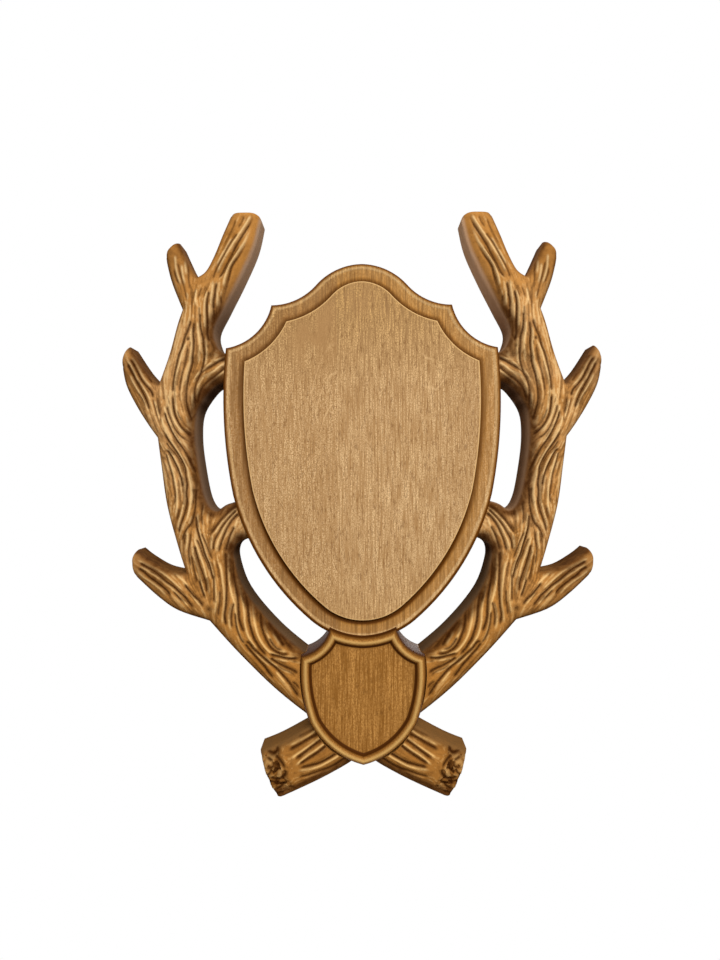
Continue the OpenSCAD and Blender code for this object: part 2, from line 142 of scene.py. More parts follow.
# Strokes of the gouges along the right branch, as across and up
BARK_STROKES: dict[Gouge, list[Run]] = {
    Gouge.BROAD: [
        [(82, 82), (86, 75.5), (89, 70.5), (92, 65), (96, 58), (99.5, 50.5), (102.5, 44.5), (105.5, 38),
         (108.5, 33.5)],
        [(86.5, 60.5), (90.5, 56), (94, 50.5), (97, 46.5), (99.5, 41.5), (101, 35), (102.5, 29), (104, 23),
         (105.5, 16)],
        [(110, 29.5), (111, 25), (111.5, 20.5), (112.5, 15), (112.5, 9)],
        [(115.5, 23), (117, 16.5), (117.5, 10), (117.5, 3), (117.5, -4), (117.5, -9), (116, -14.5)],
        [(102.5, 23.5), (105, 17.5), (107, 11.5), (109.5, 5.5), (111, -0.5)],
        [(122.5, 6.5), (122.5, 1), (122, -5), (120.5, -11.5), (120, -18.5), (120, -25.5), (121, -32),
         (123, -39.5), (125.5, -45.5), (127, -52.5), (127, -60), (127, -68.5)],
        [(127, -0.5), (127.5, -8), (127, -15.5), (127.5, -23), (128.5, -30.5), (130.5, -39), (132, -47),
         (133, -55), (133, -61.5), (131.5, -68.5), (129, -76)],
        [(129.5, 1), (131.5, -5.5), (134, -11.5), (136, -18.5), (138.5, -24.5), (140, -30.5), (141.5, -38),
         (142.5, -46), (143, -53.5)],
        [(143, -57), (142.5, -64), (141.5, -70), (139.5, -75), (136, -80.5), (132, -84.5), (129, -86.5)],
        [(149.5, -68.5), (148, -74), (145, -80.5), (142, -86), (139, -91), (135, -96.5), (132, -102.5),
         (129, -109), (126.5, -115), (125, -121.5)],
        [(149.5, -85), (146.5, -89.5), (142.5, -95), (139, -100), (136, -105.5), (134, -110.5),
         (133.5, -116), (132.5, -123), (133, -129.5), (132.5, -135.5), (133.5, -141.5), (135.5, -148),
         (138, -154.5), (139.5, -160)],
        [(148.5, -98), (146.5, -98), (143.5, -102.5), (141, -107.5), (138.5, -113), (136.5, -119),
         (135.5, -126)],
        [(126.5, -126), (126.5, -132.5), (126.5, -139.5), (127.5, -146), (129.5, -152.5), (132.5, -156),
         (135, -160.5), (137, -166)],
        [(126, -147), (125.5, -154.5), (123.5, -162), (121, -169.5), (119, -176.5), (116, -183),
         (114.5, -189), (112.5, -196)],
        [(127, -169.5), (125.5, -175.5), (123.5, -183), (121, -190), (119, -197.5), (118, -205)],
        [(104.5, -175), (104, -182.5), (103.5, -190.5), (103, -199), (103, -207.5), (103.5, -215.5),
         (104.5, -222.5), (103.5, -230)],
        [(99, -175.5), (99, -183), (98.5, -191.5), (97, -199), (95.5, -206), (94.5, -212), (94, -218.5),
         (93.5, -224.5), (92, -230), (90, -235)],
        [(91.5, -201), (89.5, -207.5), (88, -213.5), (87, -220), (86, -227), (84.5, -233), (82.5, -239),
         (80, -243.5), (77, -248), (73, -252)],
        [(78.5, -218), (78, -224), (77, -230.5), (75, -236.5), (72.5, -242), (69.5, -246.5), (65.5, -249.5),
         (61, -251.5), (56, -251.5)],
        [(70, -251.5), (65, -252.5), (59.5, -254), (54.5, -255), (49, -255)],
        [(70, -254), (65, -257.5), (59.5, -260.5), (54, -263), (49, -266)],
        [(88.5, -242), (86, -243), (82.5, -247.5), (77.5, -252), (73, -256), (68, -260), (63.5, -264),
         (59.5, -268.5), (55.5, -273.5), (52, -279), (49, -284)],
        [(89, -243.5), (86, -248), (82.5, -252), (78.5, -256.5), (74.5, -261), (71.5, -265.5), (68, -270)],
        [(72.5, -228.5), (68.5, -233.5), (65, -238), (62.5, -242), (59.5, -246.5)],
        [(124, -195.5), (122.5, -200.5), (121, -205), (119.5, -209.5)],
        [(105, -33.5), (109, -37), (112.5, -40), (116.5, -43), (119.5, -46), (122.5, -50.5), (124.5, -56.5),
         (126, -62.5)],
        [(105, -27), (109.5, -29), (114, -32), (118, -34.5), (120, -36)],
        [(97, -139.5), (101.5, -143), (106.5, -148), (110, -152.5), (113, -157), (116, -161)],
        [(96.5, -143), (101.5, -148), (106, -153.5), (109.5, -159.5), (112.5, -166), (113, -174)],
        [(95, -145.5), (99.5, -150), (103, -155.5), (106, -162.5), (108, -169), (109, -174.5)],
        [(98, -155.5), (101, -161.5), (103, -167.5), (104.5, -174.5)],
        [(177.5, -27), (174.5, -31.5), (171.5, -37), (168.5, -42.5), (164.5, -47.5), (160.5, -52),
         (158.5, -57.5)],
        [(179.5, -31), (176.5, -36), (173.5, -41.5), (170, -47.5), (166.5, -53.5), (163.5, -60),
         (161.5, -66.5)],
        [(170.5, -183), (165.5, -186), (160, -189), (154.5, -193), (149.5, -197), (144, -200.5),
         (139.5, -204.5), (135.5, -208), (132, -212.5), (128.5, -216.5)],
        [(171.5, -187), (167, -190), (162.5, -194), (157, -197.5), (151.5, -201.5), (148, -205),
         (146.5, -208)],
        [(135.5, -199), (132, -203), (128, -207.5), (124, -211), (120.5, -215.5)],
        [(-34, -312), (-40, -315), (-46, -318.5), (-51.5, -321.5), (-56.5, -324)],
        [(-31, -315.5), (-38, -320), (-44.5, -325), (-51.5, -330)],
        [(-26.5, -318.5), (-33.5, -324), (-41, -329), (-48.5, -333.5)],
        [(-19, -324.5), (-25, -328.5), (-32, -332.5), (-39.5, -334.5), (-47.5, -336)],
        [(-65.5, -322.5), (-66, -325.5), (-68, -327.5), (-71, -327), (-74.5, -325.5)],
        [(-67, -328.5), (-64, -330.5), (-61, -333), (-59, -336.5)],
        [(-59, -337.5), (-59, -341), (-62, -344.5), (-66.5, -345.5), (-71, -343.5)],
        [(-60.5, -348), (-62.5, -351.5), (-68, -355.5)],
    ],
    Gouge.MIDDLE: [
        [(90.5, 47.5), (93.5, 42), (95.5, 37.5), (98, 32), (100, 26)],
        [(95, 68), (99, 62.5), (102, 57.5), (105.5, 50.5), (108.5, 45), (111, 39.5), (113, 33)],
        [(112.5, 10.5), (112.5, 5.5), (113, -0.5), (114.5, -7), (115.5, -13)],
        [(107, 20.5), (107, 16), (105.5, 12)],
        [(131.5, -19.5), (133, -27.5), (135, -36), (137, -45), (138, -53.5)],
        [(147.5, -64), (146.5, -69), (144, -75.5), (141, -81.5), (137.5, -86), (133, -89.5)],
        [(148, -91), (145, -95.5), (141, -100), (138, -104.5), (135.5, -110), (134, -116)],
        [(148.5, -99.5), (147, -105.5), (145, -111.5), (143.5, -117.5), (142.5, -124.5), (141.5, -132),
         (142.5, -138.5)],
        [(138.5, -141), (139.5, -145.5), (141, -151.5)],
        [(121.5, -137), (122, -143), (122, -148.5), (121, -154.5)],
        [(122, -160), (119.5, -165), (117.5, -169.5), (115.5, -175), (113.5, -180)],
        [(125, -164.5), (122.5, -170.5), (120.5, -176.5), (117.5, -182.5), (116, -188.5)],
        [(130, -160), (130.5, -166), (131.5, -172), (131.5, -178), (130.5, -185)],
        [(133.5, -160), (135, -164.5), (135, -169.5)],
        [(129.5, -177), (128.5, -184), (127, -191), (125.5, -197.5)],
        [(128, -126), (127.5, -132.5), (128.5, -139.5)],
        [(108, -203.5), (108, -210.5), (109, -217), (109.5, -223)],
        [(112.5, -191), (112.5, -198.5), (112.5, -206), (112.5, -212.5)],
        [(97.5, -212.5), (99, -218.5), (99.5, -224.5), (99, -231.5)],
        [(96.5, -220), (96, -227), (94.5, -234), (92, -240), (89, -243.5)],
        [(64, -236.5), (61, -240.5), (58, -244), (53.5, -248.5)],
        [(59.5, -237.5), (56.5, -241), (53, -245), (49, -247)],
        [(71, -239.5), (68.5, -243.5), (65, -247), (60.5, -248.5)],
        [(53.5, -272), (50.5, -274.5), (48, -278)],
        [(116.5, -141), (115.5, -144.5), (115.5, -148.5)],
        [(117, -34), (121, -37), (124, -40.5), (126.5, -45)],
        [(173, -25.5), (170, -30), (167, -35.5), (163.5, -40.5), (160.5, -45.5)],
        [(155.5, -58), (154.5, -64.5), (153, -71)],
        [(144, -204.5), (141, -207.5), (137, -212)],
        [(-13, -329), (-19, -333.5), (-26, -337.5), (-33.5, -339.5), (-41.5, -342), (-49, -343.5)],
        [(-63.5, -333.5), (-65.5, -336.5)],
        [(-68.5, -332), (-74.5, -330.5)],
        [(-67, -333.5), (-69.5, -337), (-74, -337.5)],
        [(-64, -348), (-68, -348), (-71.5, -346.5)],
        [(-69.5, -338), (-71, -341), (-73, -343.5)],
    ],
    Gouge.FINE: [
        [(90, 82), (92, 77), (94.5, 72.5)],
        [(96.5, 79.5), (98, 74), (101, 67.5), (105, 59.5)],
        [(93.5, 57.5), (96.5, 53), (99.5, 48), (102.5, 42), (105, 36)],
        [(117, 26.5), (118.5, 22.5), (120, 18)],
        [(121.5, 26), (123, 22), (124.5, 18)],
        [(128.5, 20.5), (129, 16), (129, 11.5)],
        [(117, -16.5), (117, -21)],
        [(123, 11.5), (123, 7), (123, 2.5)],
        [(133, 45.5), (132, 38.5), (131.5, 32), (130.5, 25)],
        [(140, 45.5), (138.5, 39.5), (136.5, 32), (134.5, 24.5), (133, 17.5)],
        [(143, 41), (141.5, 35), (139, 29)],
        [(142.5, -89), (139.5, -93.5), (136, -98)],
        [(139.5, -67), (138, -71.5), (136, -76)],
        [(116, -150.5), (116, -154.5)],
        [(135.5, -125), (135, -131)],
        [(65, -259.5), (60.5, -262.5), (55.5, -264.5), (51, -267.5)],
        [(54, -273.5), (51, -276.5), (49, -280.5)],
        [(110.5, -182.5), (109, -188.5), (108, -194.5)],
        [(53.5, -257), (49, -257.5)],
        [(170, -53.5), (166.5, -59), (164.5, -64.5)],
        [(159, -58), (157, -65), (155, -72.5)],
        [(162.5, -189), (157, -192), (151.5, -196), (147, -199)],
        [(166, -178.5), (161, -181), (155.5, -183)],
        [(-36.5, -320), (-42.5, -324), (-48.5, -329)],
        [(-35.5, -308), (-42.5, -312), (-50.5, -315.5)],
    ],
}

# Ridges left between the grooves, painted pale as rubbed stain with a painted highlight, as across and up
BARK_RIDGES: list[Run] = [
    [(85, 82), (89.5, 74), (93.5, 67.5), (97.5, 61), (102, 53.5), (105.5, 46.5), (109.5, 38)],
    [(83.5, 73.5), (86.5, 67.5), (89.5, 61), (93.5, 55), (98, 47.5), (101, 42), (103.5, 35), (105, 27.5)],
    [(91, 49), (94, 43.5), (96.5, 38.5), (98.5, 32)],
    [(99, 64), (102.5, 58), (106.5, 51), (110, 43.5)],
    [(112.5, 30.5), (113, 24.5), (114, 18), (114, 12)],
    [(117, 23), (118.5, 16), (119, 9), (119, 2.5), (119, -4.5)],
    [(109.5, 23), (109.5, 17.5), (110, 12)],
    [(115.5, 13.5), (115.5, 7.5), (115.5, 1.5)],
    [(125.5, 25), (126, 19), (126, 13)],
    [(134.5, 51), (134.5, 44), (133.5, 37)],
    [(137, 44), (136, 36.5), (134.5, 29.5)],
    [(142, 51), (141.5, 44), (140, 37), (137.5, 29.5)],
    [(124, -0.5), (123.5, -8), (122.5, -15.5), (123, -23), (124, -30.5)],
    [(128.5, -5), (129, -11.5), (128.5, -18.5), (129, -25.5), (130.5, -33), (132, -40.5), (134, -49)],
    [(133, -16.5), (135.5, -22.5), (137.5, -30), (139.5, -38), (141, -46.5), (141.5, -54), (140.5, -61.5),
     (139.5, -68.5), (136.5, -74.5)],
    [(119, -13), (118, -20), (118.5, -27), (119.5, -33)],
    [(127.5, -54), (128.5, -60), (128.5, -66)],
    [(146, -55.5), (146, -61.5), (144.5, -67), (142.5, -73), (139, -79), (134.5, -83.5)],
    [(149.5, -64), (148, -70), (145.5, -76), (142.5, -83), (139.5, -88), (136, -92.5)],
    [(151.5, -72.5), (150, -78.5), (147.5, -84.5), (144, -90.5), (140, -96.5), (136.5, -101.5), (134, -107),
     (132, -112), (131, -117.5), (129.5, -123.5), (129, -130.5), (129.5, -137), (131, -144), (132.5, -150)],
    [(146.5, -96.5), (143, -101), (140.5, -105.5), (138, -110.5), (136, -117), (134.5, -123.5),
     (134, -130.5), (134.5, -137), (136.5, -144), (138.5, -151), (140, -157)],
    [(147, -100), (145, -106), (143, -112.5), (141.5, -119), (140, -126), (140, -132.5), (140, -139.5),
     (141.5, -146.5)],
    [(124.5, -145.5), (124.5, -150.5), (123, -158.5), (120.5, -167.5), (117.5, -176.5), (114, -185.5),
     (112, -194), (111, -202), (110.5, -209), (111, -215.5), (112, -221.5)],
    [(127, -163.5), (125, -169.5), (123, -175.5), (120.5, -182.5), (118.5, -190), (117, -197.5),
     (116, -206)],
    [(128.5, -170.5), (127.5, -176.5), (125.5, -183), (123.5, -190), (122, -197.5), (120, -206)],
    [(132, -159), (132, -164.5), (133, -169.5), (134, -173.5)],
    [(108, -182.5), (106.5, -189), (105.5, -197), (104.5, -205), (104.5, -213.5), (105.5, -221),
     (106.5, -228)],
    [(102, -175.5), (102, -183), (101.5, -191.5), (100.5, -199), (99, -206), (97, -212.5), (95.5, -221),
     (95, -229), (93, -237), (90, -243)],
    [(96, -193), (94.5, -199.5), (92.5, -206.5), (90.5, -213.5), (89.5, -221), (89, -228.5), (87, -236),
     (84, -242), (80, -247.5)],
    [(84.5, -211), (83.5, -218), (82.5, -224.5), (80.5, -233), (78, -239.5), (74.5, -245), (70, -249.5),
     (64, -251.5), (57.5, -253.5), (50.5, -253.5)],
    [(99, -213.5), (100.5, -219.5), (101, -226), (100, -233)],
    [(75.5, -225.5), (74.5, -230.5), (72.5, -236), (70, -241), (67, -245.5), (62.5, -248.5), (57.5, -250)],
    [(68.5, -236), (65.5, -240.5), (62.5, -245)],
    [(67, -254.5), (62, -255.5), (56, -256.5)],
    [(74.5, -252.5), (70, -256.5), (65, -260), (59, -263.5), (53.5, -265.5)],
    [(84, -246), (80, -251), (75.5, -255.5), (70, -260)],
    [(65.5, -264.5), (62, -269), (58.5, -273.5)],
    [(105, -25.5), (109.5, -27.5), (114, -29)],
    [(105, -30.5), (109, -33), (112.5, -36), (116.5, -38.5), (120, -40.5), (123, -44.5), (124.5, -50),
     (125.5, -56)],
    [(105, -36), (109, -39), (112.5, -42), (116.5, -46), (120, -50.5)],
    [(114, -30), (118, -33), (121.5, -36), (125, -40), (126.5, -43.5)],
    [(96.5, -141), (101, -145), (105.5, -150), (109.5, -155.5), (112.5, -161)],
    [(96.5, -144.5), (101, -149), (104.5, -154.5), (107.5, -161), (110, -167.5), (110.5, -174)],
    [(95.5, -150), (98.5, -158), (101.5, -165.5), (103.5, -173)],
    [(114, -161.5), (114.5, -167.5), (114.5, -173)],
    [(176, -25.5), (172, -31.5), (169, -37.5), (165, -44), (160.5, -48.5)],
    [(179, -28), (175, -34.5), (172, -41), (167.5, -47.5), (163.5, -53.5), (160.5, -59.5)],
    [(176.5, -40), (173, -47), (169, -53.5), (165, -60.5), (162, -67.5)],
    [(165.5, -34.5), (162, -40), (159, -44.5)],
    [(157.5, -59.5), (155, -66.5), (153.5, -74)],
    [(171.5, -181), (165.5, -184), (159.5, -187), (153, -190.5), (147, -194.5), (141.5, -199), (137, -203)],
    [(170, -185.5), (164.5, -188.5), (158.5, -192), (152.5, -196), (147, -200), (142.5, -204.5),
     (138, -209), (132.5, -215)],
    [(147, -189), (142, -192), (136.5, -196), (132, -200.5)],
    [(172, -190), (167, -194), (161, -197.5), (154.5, -202), (149.5, -206.5)],
    [(167.5, -178), (162.5, -181)],
    [(130.5, -206), (126.5, -210.5), (122.5, -215)],
    [(-35.5, -309.5), (-41, -313.5), (-47.5, -317), (-56, -321)],
    [(-32, -314), (-38.5, -318.5), (-46, -323.5), (-54.5, -329)],
    [(-29, -318), (-35.5, -322.5), (-43, -327.5), (-50.5, -333.5)],
    [(-17, -326), (-23, -330), (-30.5, -334), (-38.5, -336.5), (-48.5, -338)],
]

# Small knots in the bark, as across and up
BARK_KNOTS: Run = [(131.5, -13), (119.5, -135)]

# Pools of painted shade under the stubs and in the corners beside them, as across, up and size
SHADE_POOLS: list[tuple[float, float, float]] = [
    (108, -48, 7.5), (116, -54, 8), (122, -63, 6), (94, -163, 5),
    (99, -172, 5), (116, -217, 3), (115, -24.5, 3.5), (112, -44, 6),
]


def smooth_run(run: Sequence[Sequence[float]], steps: int) -> np.ndarray:
    """Smooth curve through a run of points, without its last point.

    Args:
        run: Points of any number of coordinates.
        steps: Places on the curve for each point of the run.

    Returns:
        Array of places, one row each.
    """
    points = np.array(run, float)
    last = len(points) - 1
    share = np.arange(steps)[:, None] / steps
    parts = []
    for i in range(last):
        a, b, c, d = (points[min(max(i + k, 0), last)] for k in (-1, 0, 1, 2))
        bend = 2 * a - 5 * b + 4 * c - d
        parts.append(b + share * ((c - a) + share * (bend + share * (3 * b - a - 3 * c + d))) / 2)
    return np.concatenate(parts)


def as_flat(places: np.ndarray) -> np.ndarray:
    """Complex numbers that stand for across and up, from rows of coordinates."""
    return places[:, 0] + 1j * places[:, 1]


def whole_run(run: Run, steps: int) -> np.ndarray:
    """Smooth curve through flat points, with its last point, as complex numbers."""
    return as_flat(np.vstack([smooth_run(run, steps), run[-1:]]))


def evened(values: np.ndarray, times: int) -> np.ndarray:
    """Evens out the values of a closed loop.

    Args:
        values: Values in order round the loop.
        times: How often each is blended with its neighbours.

    Returns:
        The evened values.
    """
    for _ in range(times):
        values = (np.roll(values, 1) + 2 * values + np.roll(values, -1)) / 4
    return values


def smoothstep(low: float | np.ndarray, high: float | np.ndarray, value: np.ndarray) -> np.ndarray:
    """Soft step from 0 at low to 1 at high, which may lie below low."""
    share = np.clip((value - low) / (high - low), 0, 1)
    return share * share * (3 - 2 * share)


def bell(value: np.ndarray) -> np.ndarray:
    """Soft hump that is 1 at 0 and 0 from 1 on."""
    return 0.5 + 0.5 * np.cos(math.pi * np.minimum(value, 1))


def nearest(points: np.ndarray, line: np.ndarray) -> tuple[np.ndarray, np.ndarray]:
    """Nearest places on a line of points.

    Args:
        points: Flat points to measure from.
        line: Flat points that the line joins in order.

    Returns:
        Distance of each point, and its place on the line as index and fraction.
    """
    gap = np.full(points.shape, np.inf)
    place = np.zeros(points.shape)
    for i, (start, step) in enumerate(zip(line[:-1], np.diff(line))):
        away = points - start
        share = np.clip((away * step.conjugate()).real / abs(step) ** 2, 0, 1)
        here = np.abs(away - share * step)
        closer = here < gap
        gap[closer] = here[closer]
        place[closer] = i + share[closer]
    return gap, place


def inside(points: np.ndarray, loop: np.ndarray) -> np.ndarray:
    """Which flat points lie inside a closed loop.

    Args:
        points: Flat points to test.
        loop: Flat points of the loop, the last one equal to the first.

    Returns:
        True for each point inside.
    """
    within = np.zeros(points.shape, bool)
    for start, end in zip(loop[:-1], loop[1:]):
        spans = np.flatnonzero((start.imag > points.imag) != (end.imag > points.imag))
        if spans.size:
            slope = (end.real - start.real) / (end.imag - start.imag)
            reach = start.real + (points.imag[spans] - start.imag) * slope
            within[spans] ^= points.real[spans] < reach
    return within


def lattice_noise(points: np.ndarray, pitch: float, seed: int) -> np.ndarray:
    """Smooth noise over the flat.

    Args:
        points: Flat points.
        pitch: Distance between its independent values.
        seed: Number that picks the pattern.

    Returns:
        Values between -1 and 1.
    """
    x, y = points.real / pitch, points.imag / pitch
    column, row = np.floor(x), np.floor(y)
    across, up, turn, spread = NOISE_FACTORS

    def value(i: np.ndarray, j: np.ndarray) -> np.ndarray:
        """Scrambled value at a lattice point."""
        mixed = np.sin(i * across + j * up + seed * turn) * spread
        return 2 * (mixed - np.floor(mixed)) - 1

    u, v = smoothstep(0, 1, x - column), smoothstep(0, 1, y - row)
    low = value(column, row) * (1 - u) + value(column + 1, row) * u
    high = value(column, row + 1) * (1 - u) + value(column + 1, row + 1) * u
    return low * (1 - v) + high * v


def chip_facets(points: np.ndarray, pitch: float, seed: int) -> np.ndarray:
    """Heights of small tilted facets, such as a chisel leaves on end grain.

    Args:
        points: Flat points.
        pitch: Size of a facet.
        seed: Number that picks the pattern.

    Returns:
        Heights between about -1 and 1.
    """
    x, y = points.real / pitch, points.imag / pitch
    column, row = np.floor(x), np.floor(y)
    best = np.full(points.shape, np.inf)
    height = np.zeros(points.shape)
    for di in (-1, 0, 1):
        for dj in (-1, 0, 1):
            i, j = column + di, row + dj
            waves = [np.abs(np.sin(i * a + j * b + seed)) for a, b in FACET_FACTORS]
            draws = [np.modf(wave * FACET_SPREAD)[0] for wave in waves]
            dx, dy = x - i - draws[0], y - j - draws[1]
            gap = dx * dx + dy * dy
            closer = gap < best
            best[closer] = gap[closer]
            tilt = (draws[2] - 0.5) * dx + (draws[3] - 0.5) * dy
            height[closer] = (2 * draws[2] - 1 + 2.5 * tilt)[closer]
    return height


def close_holes(bm: BMesh) -> None:
    """Puts a flat face over each open loop of edges."""
    bmesh.ops.holes_fill(bm, edges=[e for e in bm.edges if e.is_boundary], sides=0)


def tube(rings: Sequence[Ring], tones: Sequence[float] | None = None) -> BMesh:
    """Closed skin through rings of equal count, with a flat face over each end.

    Args:
        rings: Rings of points, in order along the tube.
        tones: Stain of each ring, kept in the vertices.

    Returns:
        The new mesh.
    """
    count = len(rings[0])
    bm = bmesh.new()
    bmesh.ops.create_grid(bm, x_segments=count, y_segments=len(rings) - 1, size=1)
    tone = bm.verts.layers.float.new("tone")
    for place, vert in enumerate(bm.verts):
        row, column = divmod(place, count + 1)
        vert.co = rings[row][column % count]
        if tones is not None:
            vert[tone] = tones[row]
    bmesh.ops.remove_doubles(bm, verts=bm.verts[:], dist=MERGE)
    close_holes(bm)
    bmesh.ops.recalc_face_normals(bm, faces=bm.faces[:])
    return bm


def level(loop: np.ndarray, depth: float) -> Ring:
    """Ring of points from a flat loop, at a depth from the wall."""
    return [(p.real, p.imag, depth) for p in loop]


def prism(loop: np.ndarray, low: float, high: float) -> BMesh:
    """Upright-sided solid of a flat loop between two depths."""
    return tube([level(loop, low), level(loop, high)])


def turned(profile: Iterable[tuple[float, float]], sides: int) -> BMesh:
    """Solid of revolution about the depth axis, from radius and depth."""
    spokes = np.exp(2j * math.pi * np.arange(sides) / sides)
    return tube([level(radius * spokes, depth) for radius, depth in profile])


def as_mesh(bm: BMesh, name: str) -> bpy.types.Mesh:
    """Mesh for an object, from a bmesh.

    Args:
        bm: The bmesh, which is freed.
        name: Name of the mesh.

    Returns:
        The mesh.
    """
    mesh = bpy.data.meshes.new(name)
    bm.to_mesh(mesh)
    bm.free()
    return mesh


def in_scene(name: str, data: bpy.types.ID) -> bpy.types.Object:
    """Puts a new object into the scene, at its origin.

    Args:
        name: Name of the object.
        data: Mesh, light or camera.

    Returns:
        The object.
    """
    obj = bpy.data.objects.new(name, data)
    bpy.context.scene.collection.objects.link(obj)
    return obj


def joined(parts: Iterable[BMesh]) -> BMesh:
    """Takes several meshes into one.

    Args:
        parts: The meshes, which are freed.

    Returns:
        The one mesh.
    """
    whole = bmesh.new()
    for part in parts:
        mesh = as_mesh(part, "part")
        whole.from_mesh(mesh)
        bpy.data.meshes.remove(mesh)
    return whole


def moved(bm: BMesh, matrix: Matrix) -> BMesh:
    """Transforms a mesh, and turns it right side out again after a mirror.

    Args:
        bm: The mesh.
        matrix: The transform.

    Returns:
        The same mesh.
    """
    bmesh.ops.transform(bm, matrix=matrix, verts=bm.verts[:])
    if matrix.determinant() < 0:
        bmesh.ops.reverse_faces(bm, faces=bm.faces[:])
    return bm


def at(bm: BMesh, places: Iterable[complex]) -> BMesh:
    """Copies a mesh to several places.

    Args:
        bm: The mesh, which is freed.
        places: Flat places for its origin.

    Returns:
        The copies as one mesh.
    """
    copies = [moved(bm.copy(), Matrix.Translation((place.real, place.imag, 0))) for place in places]
    bm.free()
    return joined(copies)


def carved(bm: BMesh, cutters: Iterable[BMesh]) -> BMesh:
    """Mesh after closed cutters have been taken away from it.

    Args:
        bm: Closed mesh, which is freed.
        cutters: Closed meshes, which are freed.

    Returns:
        The cut mesh.
    """
    body = in_scene("wood", as_mesh(bm, "wood"))
    for cutter in cutters:
        tool = in_scene("cutter", as_mesh(cutter, "cutter"))
        cut = body.modifiers.new("cut", "BOOLEAN")
        cut.operation = "DIFFERENCE"
        cut.solver = "EXACT"
        cut.object = tool
        graph = bpy.context.evaluated_depsgraph_get()
        mesh = bpy.data.meshes.new_from_object(body.evaluated_get(graph))
        body.modifiers.clear()
        body.data = mesh
        bpy.data.objects.remove(tool)
    result = bmesh.new()
    result.from_mesh(body.data)
    bpy.data.objects.remove(body)
    return result


@dataclass(frozen=True)
class ShieldOutline:
    """Symmetrical outline of arcs, given by the stretches of its right half.

    Attributes:
        joints: Ends of the stretches, from the top of the outline down to its tip.
        bulges: How far the middle of each stretch stands out of its chord.
        steps: Points on each stretch.
        smooth_likeness: Cosine of the bend up to which a joint isn't a corner.
    """

    joints: tuple[complex, ...]
    bulges: tuple[float, ...]
    steps: int = 16
    smooth_likeness: float = math.cos(math.radians(15))

    def circles(self) -> list[tuple[complex, float]]:
        """Circles that the stretches lie on.

        Returns:
            Centre and radius of each, with a negative radius where the stretch is hollow.
        """
        found = []
        for a, c, bulge in zip(self.joints, self.joints[1:], self.bulges):
            half = abs(c - a) / 2
            radius = (half * half + bulge * bulge) / (2 * bulge)
            found.append(((a + c) / 2 + 1j * (c - a) / abs(c - a) * (bulge - radius), radius))
        return found

    def end(self, circle: tuple[complex, float], aim: complex, inset: float) -> complex:
        """Where a stretch that was moved inwards meets the middle line.

        Args:
            circle: Centre and radius of the stretch.
            aim: Flat point that the meeting lies near.
            inset: Distance that the stretch was moved.

        Returns:
            Flat point of the meeting.
        """
        centre, radius = circle
        rise = math.sqrt((radius - inset) ** 2 - centre.real ** 2)
        return min((1j * (centre.imag + rise), 1j * (centre.imag - rise)), key=lambda p: abs(p - aim))

    def joint(self, place: int, inset: float) -> complex:
        """Joint of two stretches that were moved inwards: a mitre at a corner, else a plain shift.

        Args:
            place: Number of the joint.
            inset: Distance that the stretches were moved.

        Returns:
            Flat point of the joint.
        """
        (one, reach), (two, far) = self.circles()[place - 1:place + 1]
        here = self.joints[place]
        before, after = (here - one) / reach, (here - two) / far
        likeness = (before * after.conjugate()).real
        if likeness > self.smooth_likeness:
            return here - inset * (before + after) / (1 + likeness)
        gap = abs(two - one)
        way = (two - one) / gap
        along = ((reach - inset) ** 2 - (far - inset) ** 2 + gap * gap) / (2 * gap)
        rise = 1j * way * math.sqrt((reach - inset) ** 2 - along * along)
        foot = one + along * way
        return min((foot + rise, foot - rise), key=lambda p: abs(p - here))

    def ring(self, inset: float = 0.0) -> np.ndarray:
        """Closed outline, clockwise from the top.

        Args:
            inset: Distance that the outline is moved inwards.

        Returns:
            Flat points, without a repeat of the first.
        """
        circles = self.circles()
        inner = [self.joint(place, inset) for place in range(1, len(circles))]
        top = self.end(circles[0], self.joints[0], inset)
        tip = self.end(circles[-1], self.joints[-1], inset)
        ends = [top, *inner, tip]
        share = np.arange(self.steps) / self.steps
        parts = []
        for (centre, _), a, c in zip(circles, ends, ends[1:]):
            sweep = np.angle((c - centre) / (a - centre))
            reach = (1 - share) * abs(a - centre) + share * abs(c - centre)
            parts.append(centre + reach * np.exp(1j * (np.angle(a - centre) + sweep * share)))
        right = np.concatenate(parts)
        return np.concatenate([right, [tip], -right[:0:-1].conjugate()])


